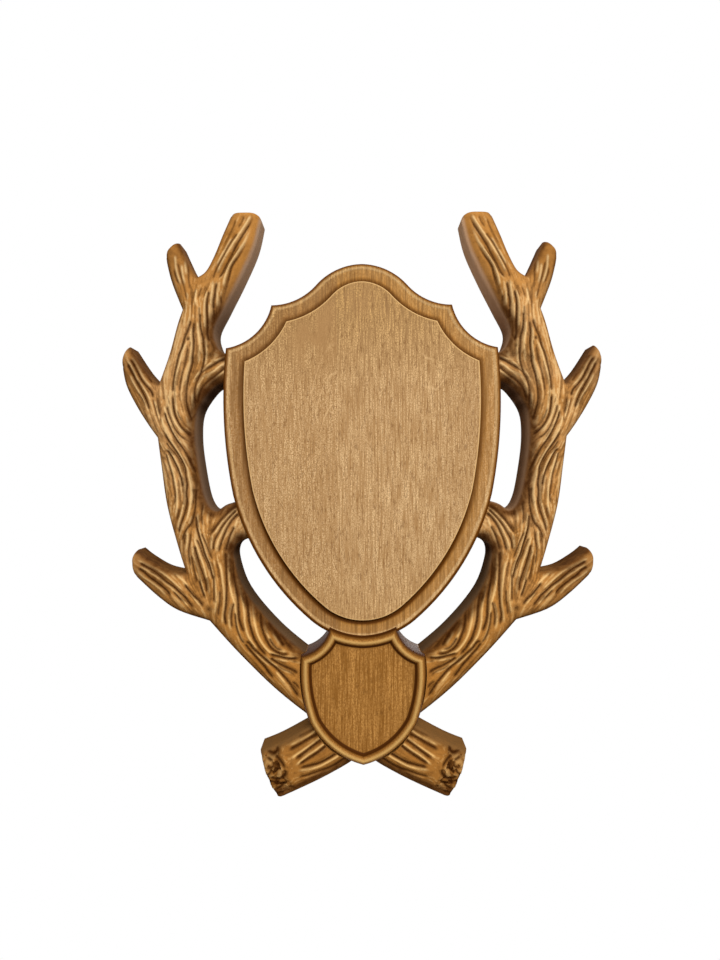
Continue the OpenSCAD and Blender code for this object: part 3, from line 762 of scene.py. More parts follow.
class Shader:
    """Builder for the nodes of one material."""

    def __init__(self, name: str, gloss: float = 0.1) -> None:
        """Starts a material that holds one principled shader.

        Args:
            name: Name of the material.
            gloss: Level of its reflections.
        """
        self.material = bpy.data.materials.new(name)
        self.material.use_nodes = True
        self.tree = self.material.node_tree
        self.surface = self.tree.nodes["Principled BSDF"]
        self.surface.inputs["Specular IOR Level"].default_value = gloss
        self.place = self.node("TexCoord").outputs["Object"]

    def feed(self, socket: bpy.types.NodeSocket, value: object) -> None:
        """Links an output to a socket, or sets the socket's own value.

        Args:
            socket: Input of a node.
            value: Output, number or colour.
        """
        if isinstance(value, bpy.types.NodeSocket):
            self.tree.links.new(value, socket)
        elif socket.type == "RGBA":
            socket.default_value = (*value, 1.0)
        else:
            socket.default_value = value

    def node(self, kind: str, inputs: dict[str | int, object] | None = None,
             **settings: object) -> bpy.types.Node:
        """Adds a node.

        Args:
            kind: Type of node, without its prefix.
            inputs: Values or outputs for its sockets.
            **settings: Its other properties.

        Returns:
            The node.
        """
        node = self.tree.nodes.new("ShaderNode" + kind)
        for key, value in settings.items():
            setattr(node, key, value)
        for key, value in (inputs or {}).items():
            self.feed(node.inputs[key], value)
        return node

    def noise(self, scale: float, stretch: Colour = (1, 1, 1), shift: Colour = (0, 0, 0),
              detail: float = 2.0, warp: float = 0.0) -> bpy.types.NodeSocket:
        """Noise over the piece.

        Args:
            scale: Features in a metre.
            stretch: Scale of each axis before the noise.
            shift: Where in the pattern the piece lies.
            detail: Finer layers of noise.
            warp: How much the pattern is bent.

        Returns:
            Output between 0 and 1.
        """
        spot = self.node("Mapping", {"Vector": self.place, "Location": shift, "Scale": stretch})
        inputs = {"Vector": spot.outputs[0], "Scale": scale, "Detail": detail, "Distortion": warp}
        return self.node("TexNoise", inputs).outputs[0]

    def patch(self, middle: Span, reach: Span) -> bpy.types.NodeSocket:
        """Place on the face of a piece.

        Args:
            middle: Where it is 0, across and up in metres.
            reach: Distances across and up that count as 1.

        Returns:
            Output with the place as a vector.
        """
        across, up = middle
        spot = self.node("VectorMath", {0: self.place, 1: (across, 0, up)}, operation="SUBTRACT")
        scale = (1 / reach[0], 0, 1 / reach[1])
        return self.node("VectorMath", {0: spot.outputs[0], 1: scale}, operation="MULTIPLY").outputs[0]

    def gap(self, middle: Span, reach: Span) -> bpy.types.NodeSocket:
        """Distance from a middle, in parts of a reach."""
        return self.node("VectorMath", {0: self.patch(middle, reach)}, operation="LENGTH").outputs["Value"]

    def ramp(self, value: bpy.types.NodeSocket, low: float, high: float,
             start: float = 0.0, end: float = 1.0) -> bpy.types.NodeSocket:
        """Soft ramp from start to end while a value goes from low to high."""
        inputs = {"Value": value, "From Min": low, "From Max": high, "To Min": start, "To Max": end}
        return self.node("MapRange", inputs, interpolation_type="SMOOTHSTEP").outputs[0]

    def times(self, one: object, two: object) -> bpy.types.NodeSocket:
        """Product of two values, kept between 0 and 1."""
        return self.node("Math", {0: one, 1: two}, operation="MULTIPLY", use_clamp=True).outputs[0]

    def mix(self, share: object, one: object, two: object, kind: str = "MIX") -> bpy.types.NodeSocket:
        """Colour one with a share of colour two over it."""
        inputs = {0: share, 6: one, 7: two}
        return self.node("Mix", inputs, data_type="RGBA", blend_type=kind).outputs[2]

    def coat(self, under: object, over: object, value: bpy.types.NodeSocket, low: float, high: float,
             strength: float = 1.0) -> bpy.types.NodeSocket:
        """Colour with another over it that sets in while a value goes from low to high."""
        return self.mix(self.ramp(value, low, high, 0, strength), under, over)

    def kept(self, name: str) -> bpy.types.NodeSocket:
        """Value that the mesh keeps in its vertices."""
        return self.node("Attribute", attribute_name=name).outputs["Fac"]

    def finish(self, colour: object, roughness: object, bump: object,
               height: float) -> bpy.types.Material:
        """Feeds the surface.

        Args:
            colour: Base colour.
            roughness: Roughness.
            bump: Relief between 0 and 1.
            height: Height of the relief in millimetres.

        Returns:
            The material.
        """
        self.feed(self.surface.inputs["Base Color"], colour)
        self.feed(self.surface.inputs["Roughness"], roughness)
        relief = self.node("Bump", {"Height": bump, "Distance": height * MM, "Strength": 1.0})
        self.feed(self.surface.inputs["Normal"], relief.outputs[0])
        return self.material


@dataclass(frozen=True)
class Arches:
    """Arched growth lines on the face of a board.

    Attributes:
        centre: Middle of the arches, across and up in metres.
        stretch: How much they are drawn out upright.
        spacing: Distance between two lines, across, in metres.
        middle: Middle of the patch where they show, across and up in metres.
        reach: How far they show from there, across and up in metres.
        strength: Share of the pale colour in a line.
        bend: How much the lines wander.
        waves_in_a_unit: Waves that the texture draws in its own unit, at a scale of 1.
    """

    centre: Span
    stretch: float
    spacing: float
    middle: Span
    reach: Span
    strength: float
    bend: float
    waves_in_a_unit: float = 20 / (2 * math.pi)

    def lines(self, shader: Shader) -> bpy.types.NodeSocket:
        """Draws the lines.

        Args:
            shader: Builder of the material.

        Returns:
            Output that is the strength of the lines on them and 0 beside them.
        """
        flat = shader.patch(self.centre, (1.0, self.stretch))
        inputs = {"Vector": flat, "Scale": 1 / (self.waves_in_a_unit * self.spacing),
                  "Distortion": self.bend, "Detail": 2.0, "Detail Scale": 1.5}
        rings = shader.node("TexWave", inputs, wave_type="RINGS", rings_direction="SPHERICAL")
        near = shader.ramp(shader.gap(self.middle, self.reach), 0.5, 1.0, self.strength, 0)
        thin = shader.ramp(rings.outputs["Fac"], 0.96, 1.0)
        broken = shader.ramp(shader.noise(70, (1, 1, 0.5), detail=1.0), 0.4, 0.56)
        return shader.times(shader.times(thin, broken), near)


@dataclass(frozen=True)
class Smudge:
    """Soft dark patch on the face of a board.

    Attributes:
        middle: Middle of the patch, across and up in metres.
        reach: Half its width and height in metres.
        strength: Share of the dark colour in its middle.
    """

    middle: Span
    reach: Span
    strength: float

    def cloud(self, shader: Shader) -> bpy.types.NodeSocket:
        """Draws the patch.

        Args:
            shader: Builder of the material.

        Returns:
            Output that is the strength in the patch's middle and 0 outside it.
        """
        near = shader.ramp(shader.gap(self.middle, self.reach), 0.2, 1.0, self.strength, 0)
        ragged = shader.ramp(shader.noise(90, (1, 1, 0.6), detail=3.0), 0.3, 0.6)
        return shader.times(near, ragged)


def scaled(colour: Colour, share: float) -> Colour:
    """Colour made lighter or darker."""
    return tuple(share * part for part in colour)


@dataclass(frozen=True)
class BoardFinish:
    """Stained wood with its grain upright, darker in the mouldings, with painted shadow low in them and
    painted highlights on the arrises.

    Attributes:
        name: Name of the material.
        pale: Colour of the pale grain.
        deep: Colour of the dark grain.
        warm: Colour of the pale grain near the top and the bottom.
        amber: Colour of the mouldings, where the stain lies thicker.
        stain: Colour of the stain that gathers in the mouldings, also used there for painted shade and
            shadow.
        gilt_and_highlight: Colour of the arrises, where the stain is rubbed thin, with a painted highlight on
            them.
        shift: Where in the log the board was cut, in metres.
        speckle: Strength of the fine speckle.
        streak: Strength of the upright streaks.
        pore: Strength of the short dark pores.
        fineness: How much finer the grain is than on the main shield.
        arches: Arched growth lines, if the board shows any.
        smudge: Soft dark patch, if the board shows one.
        gloss: Level of the reflections.
        top: Heights in metres over which the wood turns warmer and deeper towards the top.
        foot: Heights over which it turns warmer towards the bottom.
        amber_foot: Heights over which the mouldings turn more amber towards the bottom.
        foot_shadow: Heights over which a painted shadow deepens the stain in the mouldings towards the
            bottom.
    """

    name: str
    pale: Colour
    deep: Colour
    warm: Colour
    amber: Colour
    stain: Colour
    gilt_and_highlight: Colour
    shift: Colour
    speckle: float
    streak: float
    pore: float
    fineness: float = 1.0
    arches: Arches | None = None
    smudge: Smudge | None = None
    gloss: float = 0.03
    top: Span = (-0.07, 0.03)
    foot: Span = (-0.17, -0.25)
    amber_foot: Span = (-0.1, -0.21)
    foot_shadow: Span = (-0.11, -0.24)

    def material(self) -> bpy.types.Material:
        """Builds the nodes.

        Returns:
            The material, made anew.
        """
        shader = Shader(self.name, self.gloss)
        speckle = shader.noise(1350, (1, 1, 0.7), self.shift, 2.0)
        slender = (1, 1, 0.05 / self.fineness)
        streaks = shader.noise(850 * self.fineness, slender, self.shift, 3.0, 0.15)
        pores = shader.noise(1250, (1, 1, 0.2), self.shift, 1.0)
        mottle = shader.noise(30, (1, 1, 0.55), self.shift, 4.0)
        height = shader.node("SeparateXYZ", {0: shader.place}).outputs[2]
        grain = shader.ramp(streaks, 0.3, 0.7, 0.5 - self.streak, 0.5 + self.streak)
        wood = shader.coat(self.pale, self.warm, height, *self.top)
        wood = shader.coat(wood, self.warm, height, *self.foot, 0.5)
        deep = shader.coat(self.deep, scaled(self.deep, 0.7), height, *self.top)
        wood = shader.mix(grain, wood, deep)
        wood = shader.coat(wood, deep, speckle, 0.4, 0.6, self.speckle)
        wood = shader.coat(wood, self.deep, mottle, 0.38, 0.68, 0.3)
        wood = shader.coat(wood, self.stain, pores, 0.56, 0.68, self.pore)
        if self.arches:
            wood = shader.mix(self.arches.lines(shader), wood, scaled(self.pale, 1.3))
        if self.smudge:
            wood = shader.mix(self.smudge.cloud(shader), wood, self.deep)
        tone = shader.kept("tone")
        thick = shader.times(shader.ramp(tone, 0.0, 0.14), shader.ramp(height, *self.amber_foot, 0.7, 0.9))
        amber = shader.mix(grain, scaled(self.amber, 1.35), scaled(self.amber, 0.65))
        wood = shader.mix(thick, wood, amber)
        # Arrises rubbed pale, with a painted highlight, where the tone is below 0
        wood = shader.mix(shader.times(tone, -1.0), wood, self.gilt_and_highlight)
        # Stain in the mouldings, with painted shadow that deepens it towards the bottom
        gathered = shader.times(tone, shader.ramp(height, *self.foot_shadow, 0.76, 2.0))
        wood = shader.mix(gathered, wood, self.stain)
        return shader.finish(wood, shader.ramp(streaks, 0.3, 0.7, 0.42, 0.56), pores, 0.04)


@dataclass(frozen=True)
class BarkFinish:
    """Stain on the carved bark: dark in the grooves, pale on the ridges, dull on the walls. The pale on the
    ridges is partly a painted highlight, as the bark has no gloss.

    The walls are painted lighter on the upper limbs, partly sanded wood and partly painted light, and darker
    on the lower trunks, partly a darker stain and partly painted shade; the left branch's walls get painted
    shade. Spans are places in metres between which a colour sets in.
    """

    name: str = "carved bark"
    ground: Colour = (0.640, 0.330, 0.115)
    amber: Colour = (0.500, 0.210, 0.040)
    ridge: Colour = (0.96, 0.64, 0.29)
    low_ridge: Colour = (0.93, 0.56, 0.20)
    groove: Colour = (0.040, 0.011, 0.002)
    shade: Colour = (0.100, 0.033, 0.007)
    wall: Colour = (0.40, 0.235, 0.130)
    # Painted shade that darkens the left branch's walls
    left_wall_shade: Colour = (0.56, 0.58, 0.62)
    # Walls by height: painted light with sanded wood on the upper limbs, painted shade with darker stain on
    # the lower trunks, a darker brown on the stump
    other_walls: tuple[tuple[Colour, Span], ...] = (
        ((0.80, 0.50, 0.30), (-0.02, 0.05)),
        ((0.16, 0.092, 0.045), (-0.12, -0.2)),
        ((0.21, 0.102, 0.032), (-0.26, -0.3)),
    )
    low_trunk: Span = (-0.12, -0.26)
    upper_limb: Span = (-0.01, 0.05)
    stump: Span = (-0.27, -0.31)
    left_half: Span = (0.01, -0.01)
    above_stump: Span = (-0.25, -0.2)
    back: Span = (-0.001, -0.0003)

    def material(self) -> bpy.types.Material:
        """Builds the nodes.

        Returns:
            The material, made anew.
        """
        shader = Shader(self.name, 0.0)
        patches = shader.noise(30, detail=3.0)
        specks = shader.noise(1100, detail=2.0)
        smears = shader.noise(170, detail=4.0, warp=0.6)
        across, depth, height = shader.node("SeparateXYZ", {0: shader.place}).outputs
        stain = shader.coat(self.ground, self.amber, patches, 0.4, 0.6, 0.6)
        stain = shader.coat(stain, self.amber, height, *self.low_trunk, 0.92)
        stain = shader.coat(stain, self.amber, height, *self.upper_limb, 0.8)
        stain = shader.coat(stain, self.shade, height, *self.stump, 0.26)
        stain = shader.coat(stain, self.shade, smears, 0.4, 0.75, 0.3)
        # Pale ridges: rubbed stain with a painted highlight
        bright = shader.coat(self.ridge, self.low_ridge, height, *self.low_trunk, 0.92)
        stain = shader.mix(shader.times(shader.kept("ridge"), 0.9), stain, bright)
        worn = shader.ramp(smears, 0.25, 0.8, 0.75, 1.0)
        stain = shader.mix(shader.times(shader.kept("shade"), worn), stain, self.shade)
        # Walls and bare flanks, with painted light above and painted shade below and on the left
        wall = self.wall
        for colour, heights in self.other_walls:
            wall = shader.coat(wall, colour, height, *heights)
        left = shader.times(shader.ramp(across, *self.left_half), shader.ramp(height, *self.above_stump))
        wall = shader.mix(left, wall, self.left_wall_shade, "MULTIPLY")
        stain = shader.mix(shader.times(shader.kept("flank"), worn), stain, wall)
        grain = shader.ramp(shader.noise(330, (1, 1, 0.05), detail=4.0, warp=0.4), 0.4, 0.65, 0, 0.6)
        stain = shader.mix(shader.times(shader.ramp(depth, *self.back), grain), stain, self.shade)
        dark = shader.times(shader.kept("groove"), shader.ramp(specks, 0.3, 0.62, 0.75, 1.0))
        stain = shader.mix(dark, stain, self.groove)
        stain = shader.coat(stain, self.groove, specks, 0.56, 0.74, 0.26)
        return shader.finish(stain, shader.ramp(smears, 0.3, 0.7, 0.36, 0.5), specks, 0.08)


@dataclass(frozen=True)
class DowelFinish:
    """Pale bare beech of the dowels, with its grain along them."""

    name: str = "bare beech dowel"
    pale: Colour = (0.62, 0.44, 0.26)
    deep: Colour = (0.48, 0.31, 0.165)

    def material(self) -> bpy.types.Material:
        """Builds the nodes.

        Returns:
            The material, made anew.
        """
        shader = Shader(self.name)
        lines = shader.noise(700, (0.06, 1, 1), detail=3.0)
        pores = shader.noise(1800, (0.12, 1, 1))
        wood = shader.coat(self.pale, self.deep, lines, 0.35, 0.7)
        wood = shader.mix(shader.ramp(pores, 0.55, 0.7, 0, 0.4), wood, self.deep, "MULTIPLY")
        return shader.finish(wood, shader.ramp(lines, 0.3, 0.7, 0.6, 0.75), pores, 0.04)


@dataclass(frozen=True)
class SteelFinish:
    """Zinc-plated steel: a fine brushed grain with duller clouds."""

    name: str
    bright: Colour = (0.46, 0.47, 0.46)
    dull: Colour = (0.27, 0.27, 0.26)
    brushing: Colour = (1, 1, 0.04)

    def material(self) -> bpy.types.Material:
        """Builds the nodes.

        Returns:
            The material, made anew.
        """
        shader = Shader(self.name)
        brushed = shader.noise(2600, self.brushing, detail=2.0)
        clouds = shader.noise(240, detail=4.0, warp=0.5)
        metal = shader.coat(self.bright, self.dull, clouds, 0.35, 0.7)
        shader.feed(shader.surface.inputs["Metallic"], 1.0)
        return shader.finish(metal, shader.ramp(brushed, 0.3, 0.7, 0.36, 0.55), brushed, 0.01)


def add_piece(bm: BMesh, name: str, material: bpy.types.Material, crease: float) -> None:
    """Stands a flat-drawn mesh up as a finished piece that replaces the CAD node of its name.

    Args:
        bm: Mesh in millimetres, which is freed.
        name: Name of the node.
        material: Its finish.
        crease: Angle in degrees past which an edge is sharp.
    """
    for layer in bm.verts.layers.float.values():
        for vert in bm.verts:
            if vert.co.z < BACK_REACH:
                vert[layer] = 0.0
    moved(bm, STAND_UP)
    for face in bm.faces:
        face.smooth = True
    for edge in bm.edges:
        flat = any(len(face.verts) > MOST_SIDES for face in edge.link_faces)
        edge.smooth = not flat and edge.calc_face_angle(math.pi) < math.radians(crease)
    mesh = as_mesh(bm, name)
    mesh.materials.append(material)
    piece = in_scene(name + "_dressed", mesh)
    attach(piece, BODY)
    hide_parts(name)
    LOG.info("%s: %d faces", piece.name, len(mesh.polygons))


def round_over(inset: float, depth: float, radius: float, steps: int = 6) -> list[tuple[float, float]]:
    """Quarter round from an upright wall to a flat front, as inset and depth."""
    turns = [math.pi / 2 * k / steps for k in range(steps + 1)]
    return [(inset + radius * (1 - math.cos(t)), depth - radius + radius * math.sin(t)) for t in turns]


@dataclass
class WallHanger:
    """Keyhole plate and its two screws, let into the back of the shield."""

    plate_width: float = 20.0
    screw_pitch: float = 44.0
    plate_thick: float = 2.0
    entry: float = 10.0
    slot_width: float = 5.0
    slot_rise: float = 12.0
    head_room: float = 10.0
    head_clearance: float = 1.0
    screw_length: float = 16.0
    screw_shank: float = 3.5
    ease: float = 0.25
    end_points: int = 25
    neck_points: int = 17
    bowl_points: int = 33
    sink_sides: int = 48

    def screw_places(self) -> list[complex]:
        """Flat places of the two screws."""
        return [1j * (self.slot_rise / 2 + step * self.screw_pitch) for step in (-0.5, 0.5)]

    def stadium(self, low: complex, high: complex, radius: float) -> np.ndarray:
        """Loop with round ends about two points of the middle line."""
        arc = radius * np.exp(1j * np.linspace(0, math.pi, self.end_points))
        return np.concatenate([high + arc, low - arc])

    def keyhole(self, grow: float) -> np.ndarray:
        """Loop of the round entry with its slot.

        Args:
            grow: Distance that it is grown on every side.

        Returns:
            Flat points of the loop.
        """
        entry, slot = self.entry / 2 + grow, self.slot_width / 2 + grow
        mouth = math.asin(slot / entry)
        neck = slot * np.exp(1j * np.linspace(0, math.pi, self.neck_points))
        turns = np.linspace(math.pi / 2 + mouth, 2.5 * math.pi - mouth, self.bowl_points)
        return np.concatenate([1j * self.slot_rise + neck, entry * np.exp(1j * turns)])

    def hollows(self) -> list[BMesh]:
        """Hollows in the back of the shield.

        Returns:
            Cutters for the plate's seat, the room for the hook and the screws.
        """
        seat = self.stadium(*self.screw_places(), self.plate_width / 2 + GAP)
        room = self.stadium(0, 1j * self.slot_rise, self.entry / 2 + self.head_clearance)
        drill = self.screw_shank / 2 + GAP
        hole = turned([(drill, -OVERSHOOT), (drill, self.screw_length + GAP)], SCREW_SIDES)
        return [prism(seat, -OVERSHOOT, self.plate_thick), prism(room, -OVERSHOOT, self.head_room),
                at(hole, self.screw_places())]

    def plate(self) -> BMesh:
        """Cuts the plate out.

        Returns:
            The plate, with eased edges, its keyhole and its countersinks.
        """
        places, thick, ease = self.screw_places(), self.plate_thick, self.ease
        half = self.plate_width / 2
        rows = [(ease, 0), (0, ease), (0, thick - ease), (ease, thick)]
        blank = tube([level(self.stadium(*places, half - inset), depth) for inset, depth in rows])
        flare = [(-OVERSHOOT, ease), (0, ease), (ease, 0), (thick - ease, 0), (thick, ease),
                 (thick + OVERSHOOT, ease)]
        opening = tube([level(self.keyhole(grow), depth) for depth, grow in flare])
        rim, drill = self.screw_shank + GAP, self.screw_shank / 2 + GAP
        sink = [(rim, -OVERSHOOT), (rim, 0), (drill, self.screw_shank / 2), (drill, thick + OVERSHOOT)]
        return carved(blank, [opening, at(turned(sink, self.sink_sides), places)])

    def build(self) -> None:
        """Makes the plate and its screws."""
        zinc = SteelFinish("zinc plate").material()
        add_piece(self.plate(), "keyhole_plate", zinc, crease=25.0)
        WoodScrew(self.screw_shank, self.screw_length).build("hanger_screws", self.screw_places())


@dataclass
class WoodScrew:
    """Countersunk wood screw with a cross recess, head at the wall and pointing forward."""

    shank: float
    length: float
    # Face of the head in parts of its width, and depths in millimetres between which it is widest
    face: float = 0.94
    rim: Span = (0.12, 0.25)
    # Neck in parts of the length, and core and pitch of the thread in parts of the shank
    neck: float = 0.3
    core: float = 0.68
    thread_pitch: float = 0.42
    sharpness: float = 2.2
    rows_per_turn: int = 6
    # Length of the point in parts of the shank, how fast it narrows, and its least radius
    tip: float = 1.6
    taper: float = 0.6
    tip_radius: float = 0.04
    # Reach, half width and depth of the cross in parts of the shank, and the size of its floor
    cross: tuple[float, float, float] = (0.6, 0.11, 0.42)
    cross_floor: float = 0.55

    def skin(self) -> BMesh:
        """Outside of the screw.

        Returns:
            Head, plain neck, thread and point as one skin.
        """
        radius, wide = self.shank / 2, self.shank
        start, end = self.rim
        head = [(self.face * wide, 0.0), (wide, start), (wide, end), (radius, radius + end)]
        neck = self.neck * self.length
        pitch = self.thread_pitch * self.shank
        rows = round((self.length - neck) / pitch * self.rows_per_turn)
        turns = np.arange(SCREW_SIDES) / SCREW_SIDES
        spokes = np.exp(2j * math.pi * turns)
        rings = [level(reach * spokes, depth) for reach, depth in head]
        for k in range(rows + 1):
            depth = neck + (self.length - neck) * k / rows
            point = min(1.0, (self.length - depth) / (self.tip * self.shank))
            wave = np.abs((depth / pitch - turns) % 1 - 0.5) * 2
            thread = np.clip(1 + self.sharpness * (wave - 1), 0, 1)
            reach = radius * point ** self.taper * (self.core + (1 - self.core) * thread)
            rings.append(level(np.maximum(reach, self.tip_radius) * spokes, depth))
        return tube(rings)

    def recess(self) -> BMesh:
        """Hollow of the head.

        Returns:
            Cutter in the shape of a cross, narrower at its floor.
        """
        arm, half, deep = (share * self.shank for share in self.cross)
        corner = [complex(arm, -half), complex(arm, half), complex(half, half)]
        star = np.array([place * 1j ** turn for turn in range(4) for place in corner])
        rows = [(1.05, -OVERSHOOT), (1.0, 0.0), (self.cross_floor, deep)]
        return tube([level(share * star, depth) for share, depth in rows])

    def build(self, name: str, places: Sequence[complex]) -> None:
        """Makes a group of screws.

        Args:
            name: Name of the node.
            places: Flat places of the heads.
        """
        screws = at(carved(self.skin(), [self.recess()]), places)
        finish = SteelFinish(name.replace("_", " "), (0.48, 0.46, 0.39), (0.29, 0.275, 0.22), (1, 0.05, 1))
        add_piece(screws, name, finish.material(), crease=28.0)


@dataclass
class StubDowels:
    """Fluted dowels that hold the branches' stubs to the edge of the shield."""

    edge: ShieldOutline
    diameter: float = 6.0
    length: float = 30.0
    pitch: float = 12.0
    stub_heights: tuple[float, ...] = (-34.0, -154.0)
    depth: float = 10.0
    bevel: float = 1.0
    flutes: int = 14
    flute_depth: float = 0.22
    flute_sides: int = 6
    hole_sides: int = 32

    def places(self) -> list[complex]:
        """Where the right-hand dowels lie.

        Returns:
            Flat places of their middles, on the shield's edge.
        """
        right = self.edge.ring()[:len(self.edge.bulges) * self.edge.steps + 1]
        widest = int(np.argmax(right.real))
        lower = right[widest:][::-1]
        ups = [stub + step * self.pitch for stub in self.stub_heights for step in (-0.5, 0.5)]
        return [complex(np.interp(up, lower.imag, lower.real), up) for up in ups]

    def stand(self, place: complex, hand: Hand) -> Matrix:
        """Transform that lays a dowel across the joint at a place on either side."""
        spot = Matrix.Translation((hand.value * place.real, place.imag, self.depth))
        return spot @ Matrix.Rotation(math.pi / 2, 4, "Y")

    def pin(self) -> BMesh:
        """One dowel about the depth axis.

        Returns:
            The dowel, with bevelled ends and flutes.
        """
        half, radius = self.length / 2, self.diameter / 2
        sides = self.flute_sides * self.flutes
        turns = 2 * math.pi * np.arange(sides) / sides
        fluted = radius - self.flute_depth * np.clip(np.cos(self.flutes * turns), 0, 1) ** 2
        end = radius - self.bevel / 2
        rows = [(end, -half), (fluted, self.bevel - half), (fluted, half - self.bevel), (end, half)]
        return tube([level(reach * np.exp(1j * turns), depth) for reach, depth in rows])

    def holes(self, hand: Hand) -> BMesh:
        """Dowel holes of one side.

        Args:
            hand: The side.

        Returns:
            Cutter for its four holes.
        """
        reach, half = self.diameter / 2 + GAP, self.length / 2 + GAP
        rows = [(reach, -half), (reach, half)]
        stands = [self.stand(place, hand) for place in self.places()]
        return joined(moved(turned(rows, self.hole_sides), stand) for stand in stands)

    def build(self) -> None:
        """Makes the eight dowels."""
        pins = [moved(self.pin(), self.stand(place, hand)) for hand in Hand for place in self.places()]
        add_piece(joined(pins), "stub_dowels", DowelFinish().material(), crease=25.0)


@dataclass
class MouldedShield:
    """Main shield of three glued boards, with a moulded border and a raised field.

    The field is moved up by its two lifts at the two heights for them. Tones are strengths of the stain,
    below 0 where it is rubbed thin with a painted highlight, and those of the cove go with shares of its
    width. The darkest tones round the outer edge are partly painted shade.
    """

    outline: ShieldOutline
    hanger: WallHanger
    dowels: StubDowels
    border_thick: float = 30.0
    field_thick: float = 34.0
    edge_round: float = 3.0
    border_width: float = 16.0
    cove_width: float = 4.2
    cove_depth: float = 1.6
    lip_round: float = 0.7
    field_lift: Span = (-0.9, 1.6)
    lift_heights: Span = (-150.0, -40.0)
    glue_lines: Span = (-19.0, 64.0)
    # Tones round the outer edge: stain with painted shade in its dark line
    edge_tones: tuple[float, ...] = (1.3, 1.3, 1.3, 1.3, 1.2, 0.6, -0.05)
    cove_tones: tuple[Span, ...] = (
        (0.0, 0.2), (0.15, 0.36), (0.35, 0.58), (0.55, 0.8), (0.75, 0.95), (1.0, 1.0))
    # Pale lip on the field's edge: rubbed stain with a painted highlight
    lip_tone: float = -0.9

    def profile(self) -> list[tuple[float, float, float]]:
        """Moulding from the back edge to the field.

        Returns:
            Inset, depth and stain of each row.
        """
        front, edge = self.border_thick, self.edge_round
        rows = [(0.5, 0.0, 0.0), (0.0, 0.5, 0.6), (0.0, 12.0, 0.7)]
        rows += [(*place, tone) for place, tone in zip(round_over(0, front, edge), self.edge_tones)]
        start = self.border_width - self.cove_width
        # Pale band beside the round-over: rubbed stain with a painted highlight
        rows += [(edge + 1.0, front, -0.4), (edge + 2.4, front, 0.08), (start - 0.6, front, 0.1)]
        for share, tone in self.cove_tones:
            drop = self.cove_depth * (1 - math.cos(math.pi / 2 * share))
            rows.append((start + self.cove_width * share, front - drop, tone))
        foot, lip = self.border_width, self.field_thick
        rows += [(foot + 0.15, front - self.cove_depth + 0.3, 1.0), (foot + 0.3, lip - 1.2, 0.9)]
        rows += [(*place, self.lip_tone) for place in round_over(foot + 0.35, lip, self.lip_round, 4)]
        rows += [(foot + 1.3, lip, -0.1), (foot + 2.0, lip, 0.0)]
        return rows

    def board(self, whole: BMesh, low: float, high: float) -> BMesh:
        """Cuts one board out of the shield.

        Args:
            whole: The whole shield.
            low: Where the board starts, across.
            high: Where it ends.

        Returns:
            The board, with closed edges.
        """
        part = whole.copy()
        for place, side in ((low, -1), (high, 1)):
            geometry = part.verts[:] + part.edges[:] + part.faces[:]
            bmesh.ops.bisect_plane(part, geom=geometry, dist=MERGE, plane_co=(place, 0, 0),
                                   plane_no=(side, 0, 0), clear_outer=True)
            close_holes(part)
        return part

    def finishes(self) -> dict[str, BoardFinish]:
        """One stain over three pieces of wood.

        Returns:
            Finish of each board.
        """
        right = BoardFinish("right board", pale=(0.815, 0.550, 0.282), deep=(0.405, 0.220, 0.084),
                            warm=(0.760, 0.445, 0.155), amber=(0.440, 0.198, 0.040),
                            stain=(0.120, 0.037, 0.003), gilt_and_highlight=(0.74, 0.46, 0.19),
                            shift=(2.47, 0.9, 0.23), speckle=0.9, streak=0.42, pore=0.4)
        flames = Arches((self.glue_lines[0] * MM, -0.16), 5.0, 0.0044, (-0.028, -0.05), (0.016, 0.05),
                        strength=0.24, bend=0.5)
        left = replace(right, name="left board", amber=(0.310, 0.140, 0.036), shift=(0.31, 0.0, 0.07),
                       speckle=1.0, arches=flames, smudge=Smudge((-0.036, -0.005), (0.034, 0.05), 0.8))
        peaks = Arches((0.052, 0.10), 4.0, 0.0058, (0.054, -0.04), (0.012, 0.05), strength=0.2, bend=2.0)
        middle = replace(right, name="middle board", shift=(1.13, 0.4, 0.52), speckle=0.8, streak=0.5,
                         arches=peaks, smudge=Smudge((-0.004, 0.02), (0.02, 0.03), 0.6))
        return {"left": left, "middle": middle, "right": right}

    def build(self) -> None:
        """Makes the three boards."""
        rows = self.profile()
        reach = rows[-1][0]
        rings = []
        for inset, depth, _ in rows:
            loop = self.outline.ring(inset)
            lift = np.interp(loop.imag, self.lift_heights, self.field_lift) * inset / reach
            rings.append(level(loop + 1j * lift, depth))
        whole = tube(rings, [tone for _, _, tone in rows])
        left, right = self.glue_lines
        far = 2 * max(self.outline.ring().real)
        cuts = {"left": (-far, left, [self.dowels.holes(Hand.LEFT)]),
                "middle": (left, right, self.hanger.hollows()),
                "right": (right, far, [self.dowels.holes(Hand.RIGHT)])}
        finishes = self.finishes()
        for name, (low, high, cutters) in cuts.items():
            board = carved(self.board(whole, low, high), cutters)
            add_piece(board, "shield_stave_" + name, finishes[name].material(), crease=30.0)
        whole.free()


def blot(points: np.ndarray, place: complex, size: float) -> np.ndarray:
    """Soft round spot that is 1 at a place and fades over a size."""
    return np.exp(-(np.abs(points - place) / size) ** 2)


@dataclass
class BarkSpots:
    """Flat points on the branch, and where on it each of them lies.

    Attributes:
        points: The points.
        outer_gap: Distance from the side away from the shield.
        inner_gap: Distance from the side towards it.
        half: Half width of the limb.
        drop: How far its crest lies below the trunk's.
        inner: 1 on the half of a limb that faces the shield, and 0 elsewhere.
        high: The same for the upper limb.
        low: The same for the lower trunk.
        stump: The same for the trunk past the crossing.
        twig: The same for the twigs.
    """

    points: np.ndarray
    outer_gap: np.ndarray
    inner_gap: np.ndarray
    half: np.ndarray
    drop: np.ndarray
    inner: np.ndarray
    high: np.ndarray
    low: np.ndarray
    stump: np.ndarray
    twig: np.ndarray

    def side_gap(self) -> np.ndarray:
        """Distance from the nearer side."""
        return np.minimum(self.outer_gap, self.inner_gap)


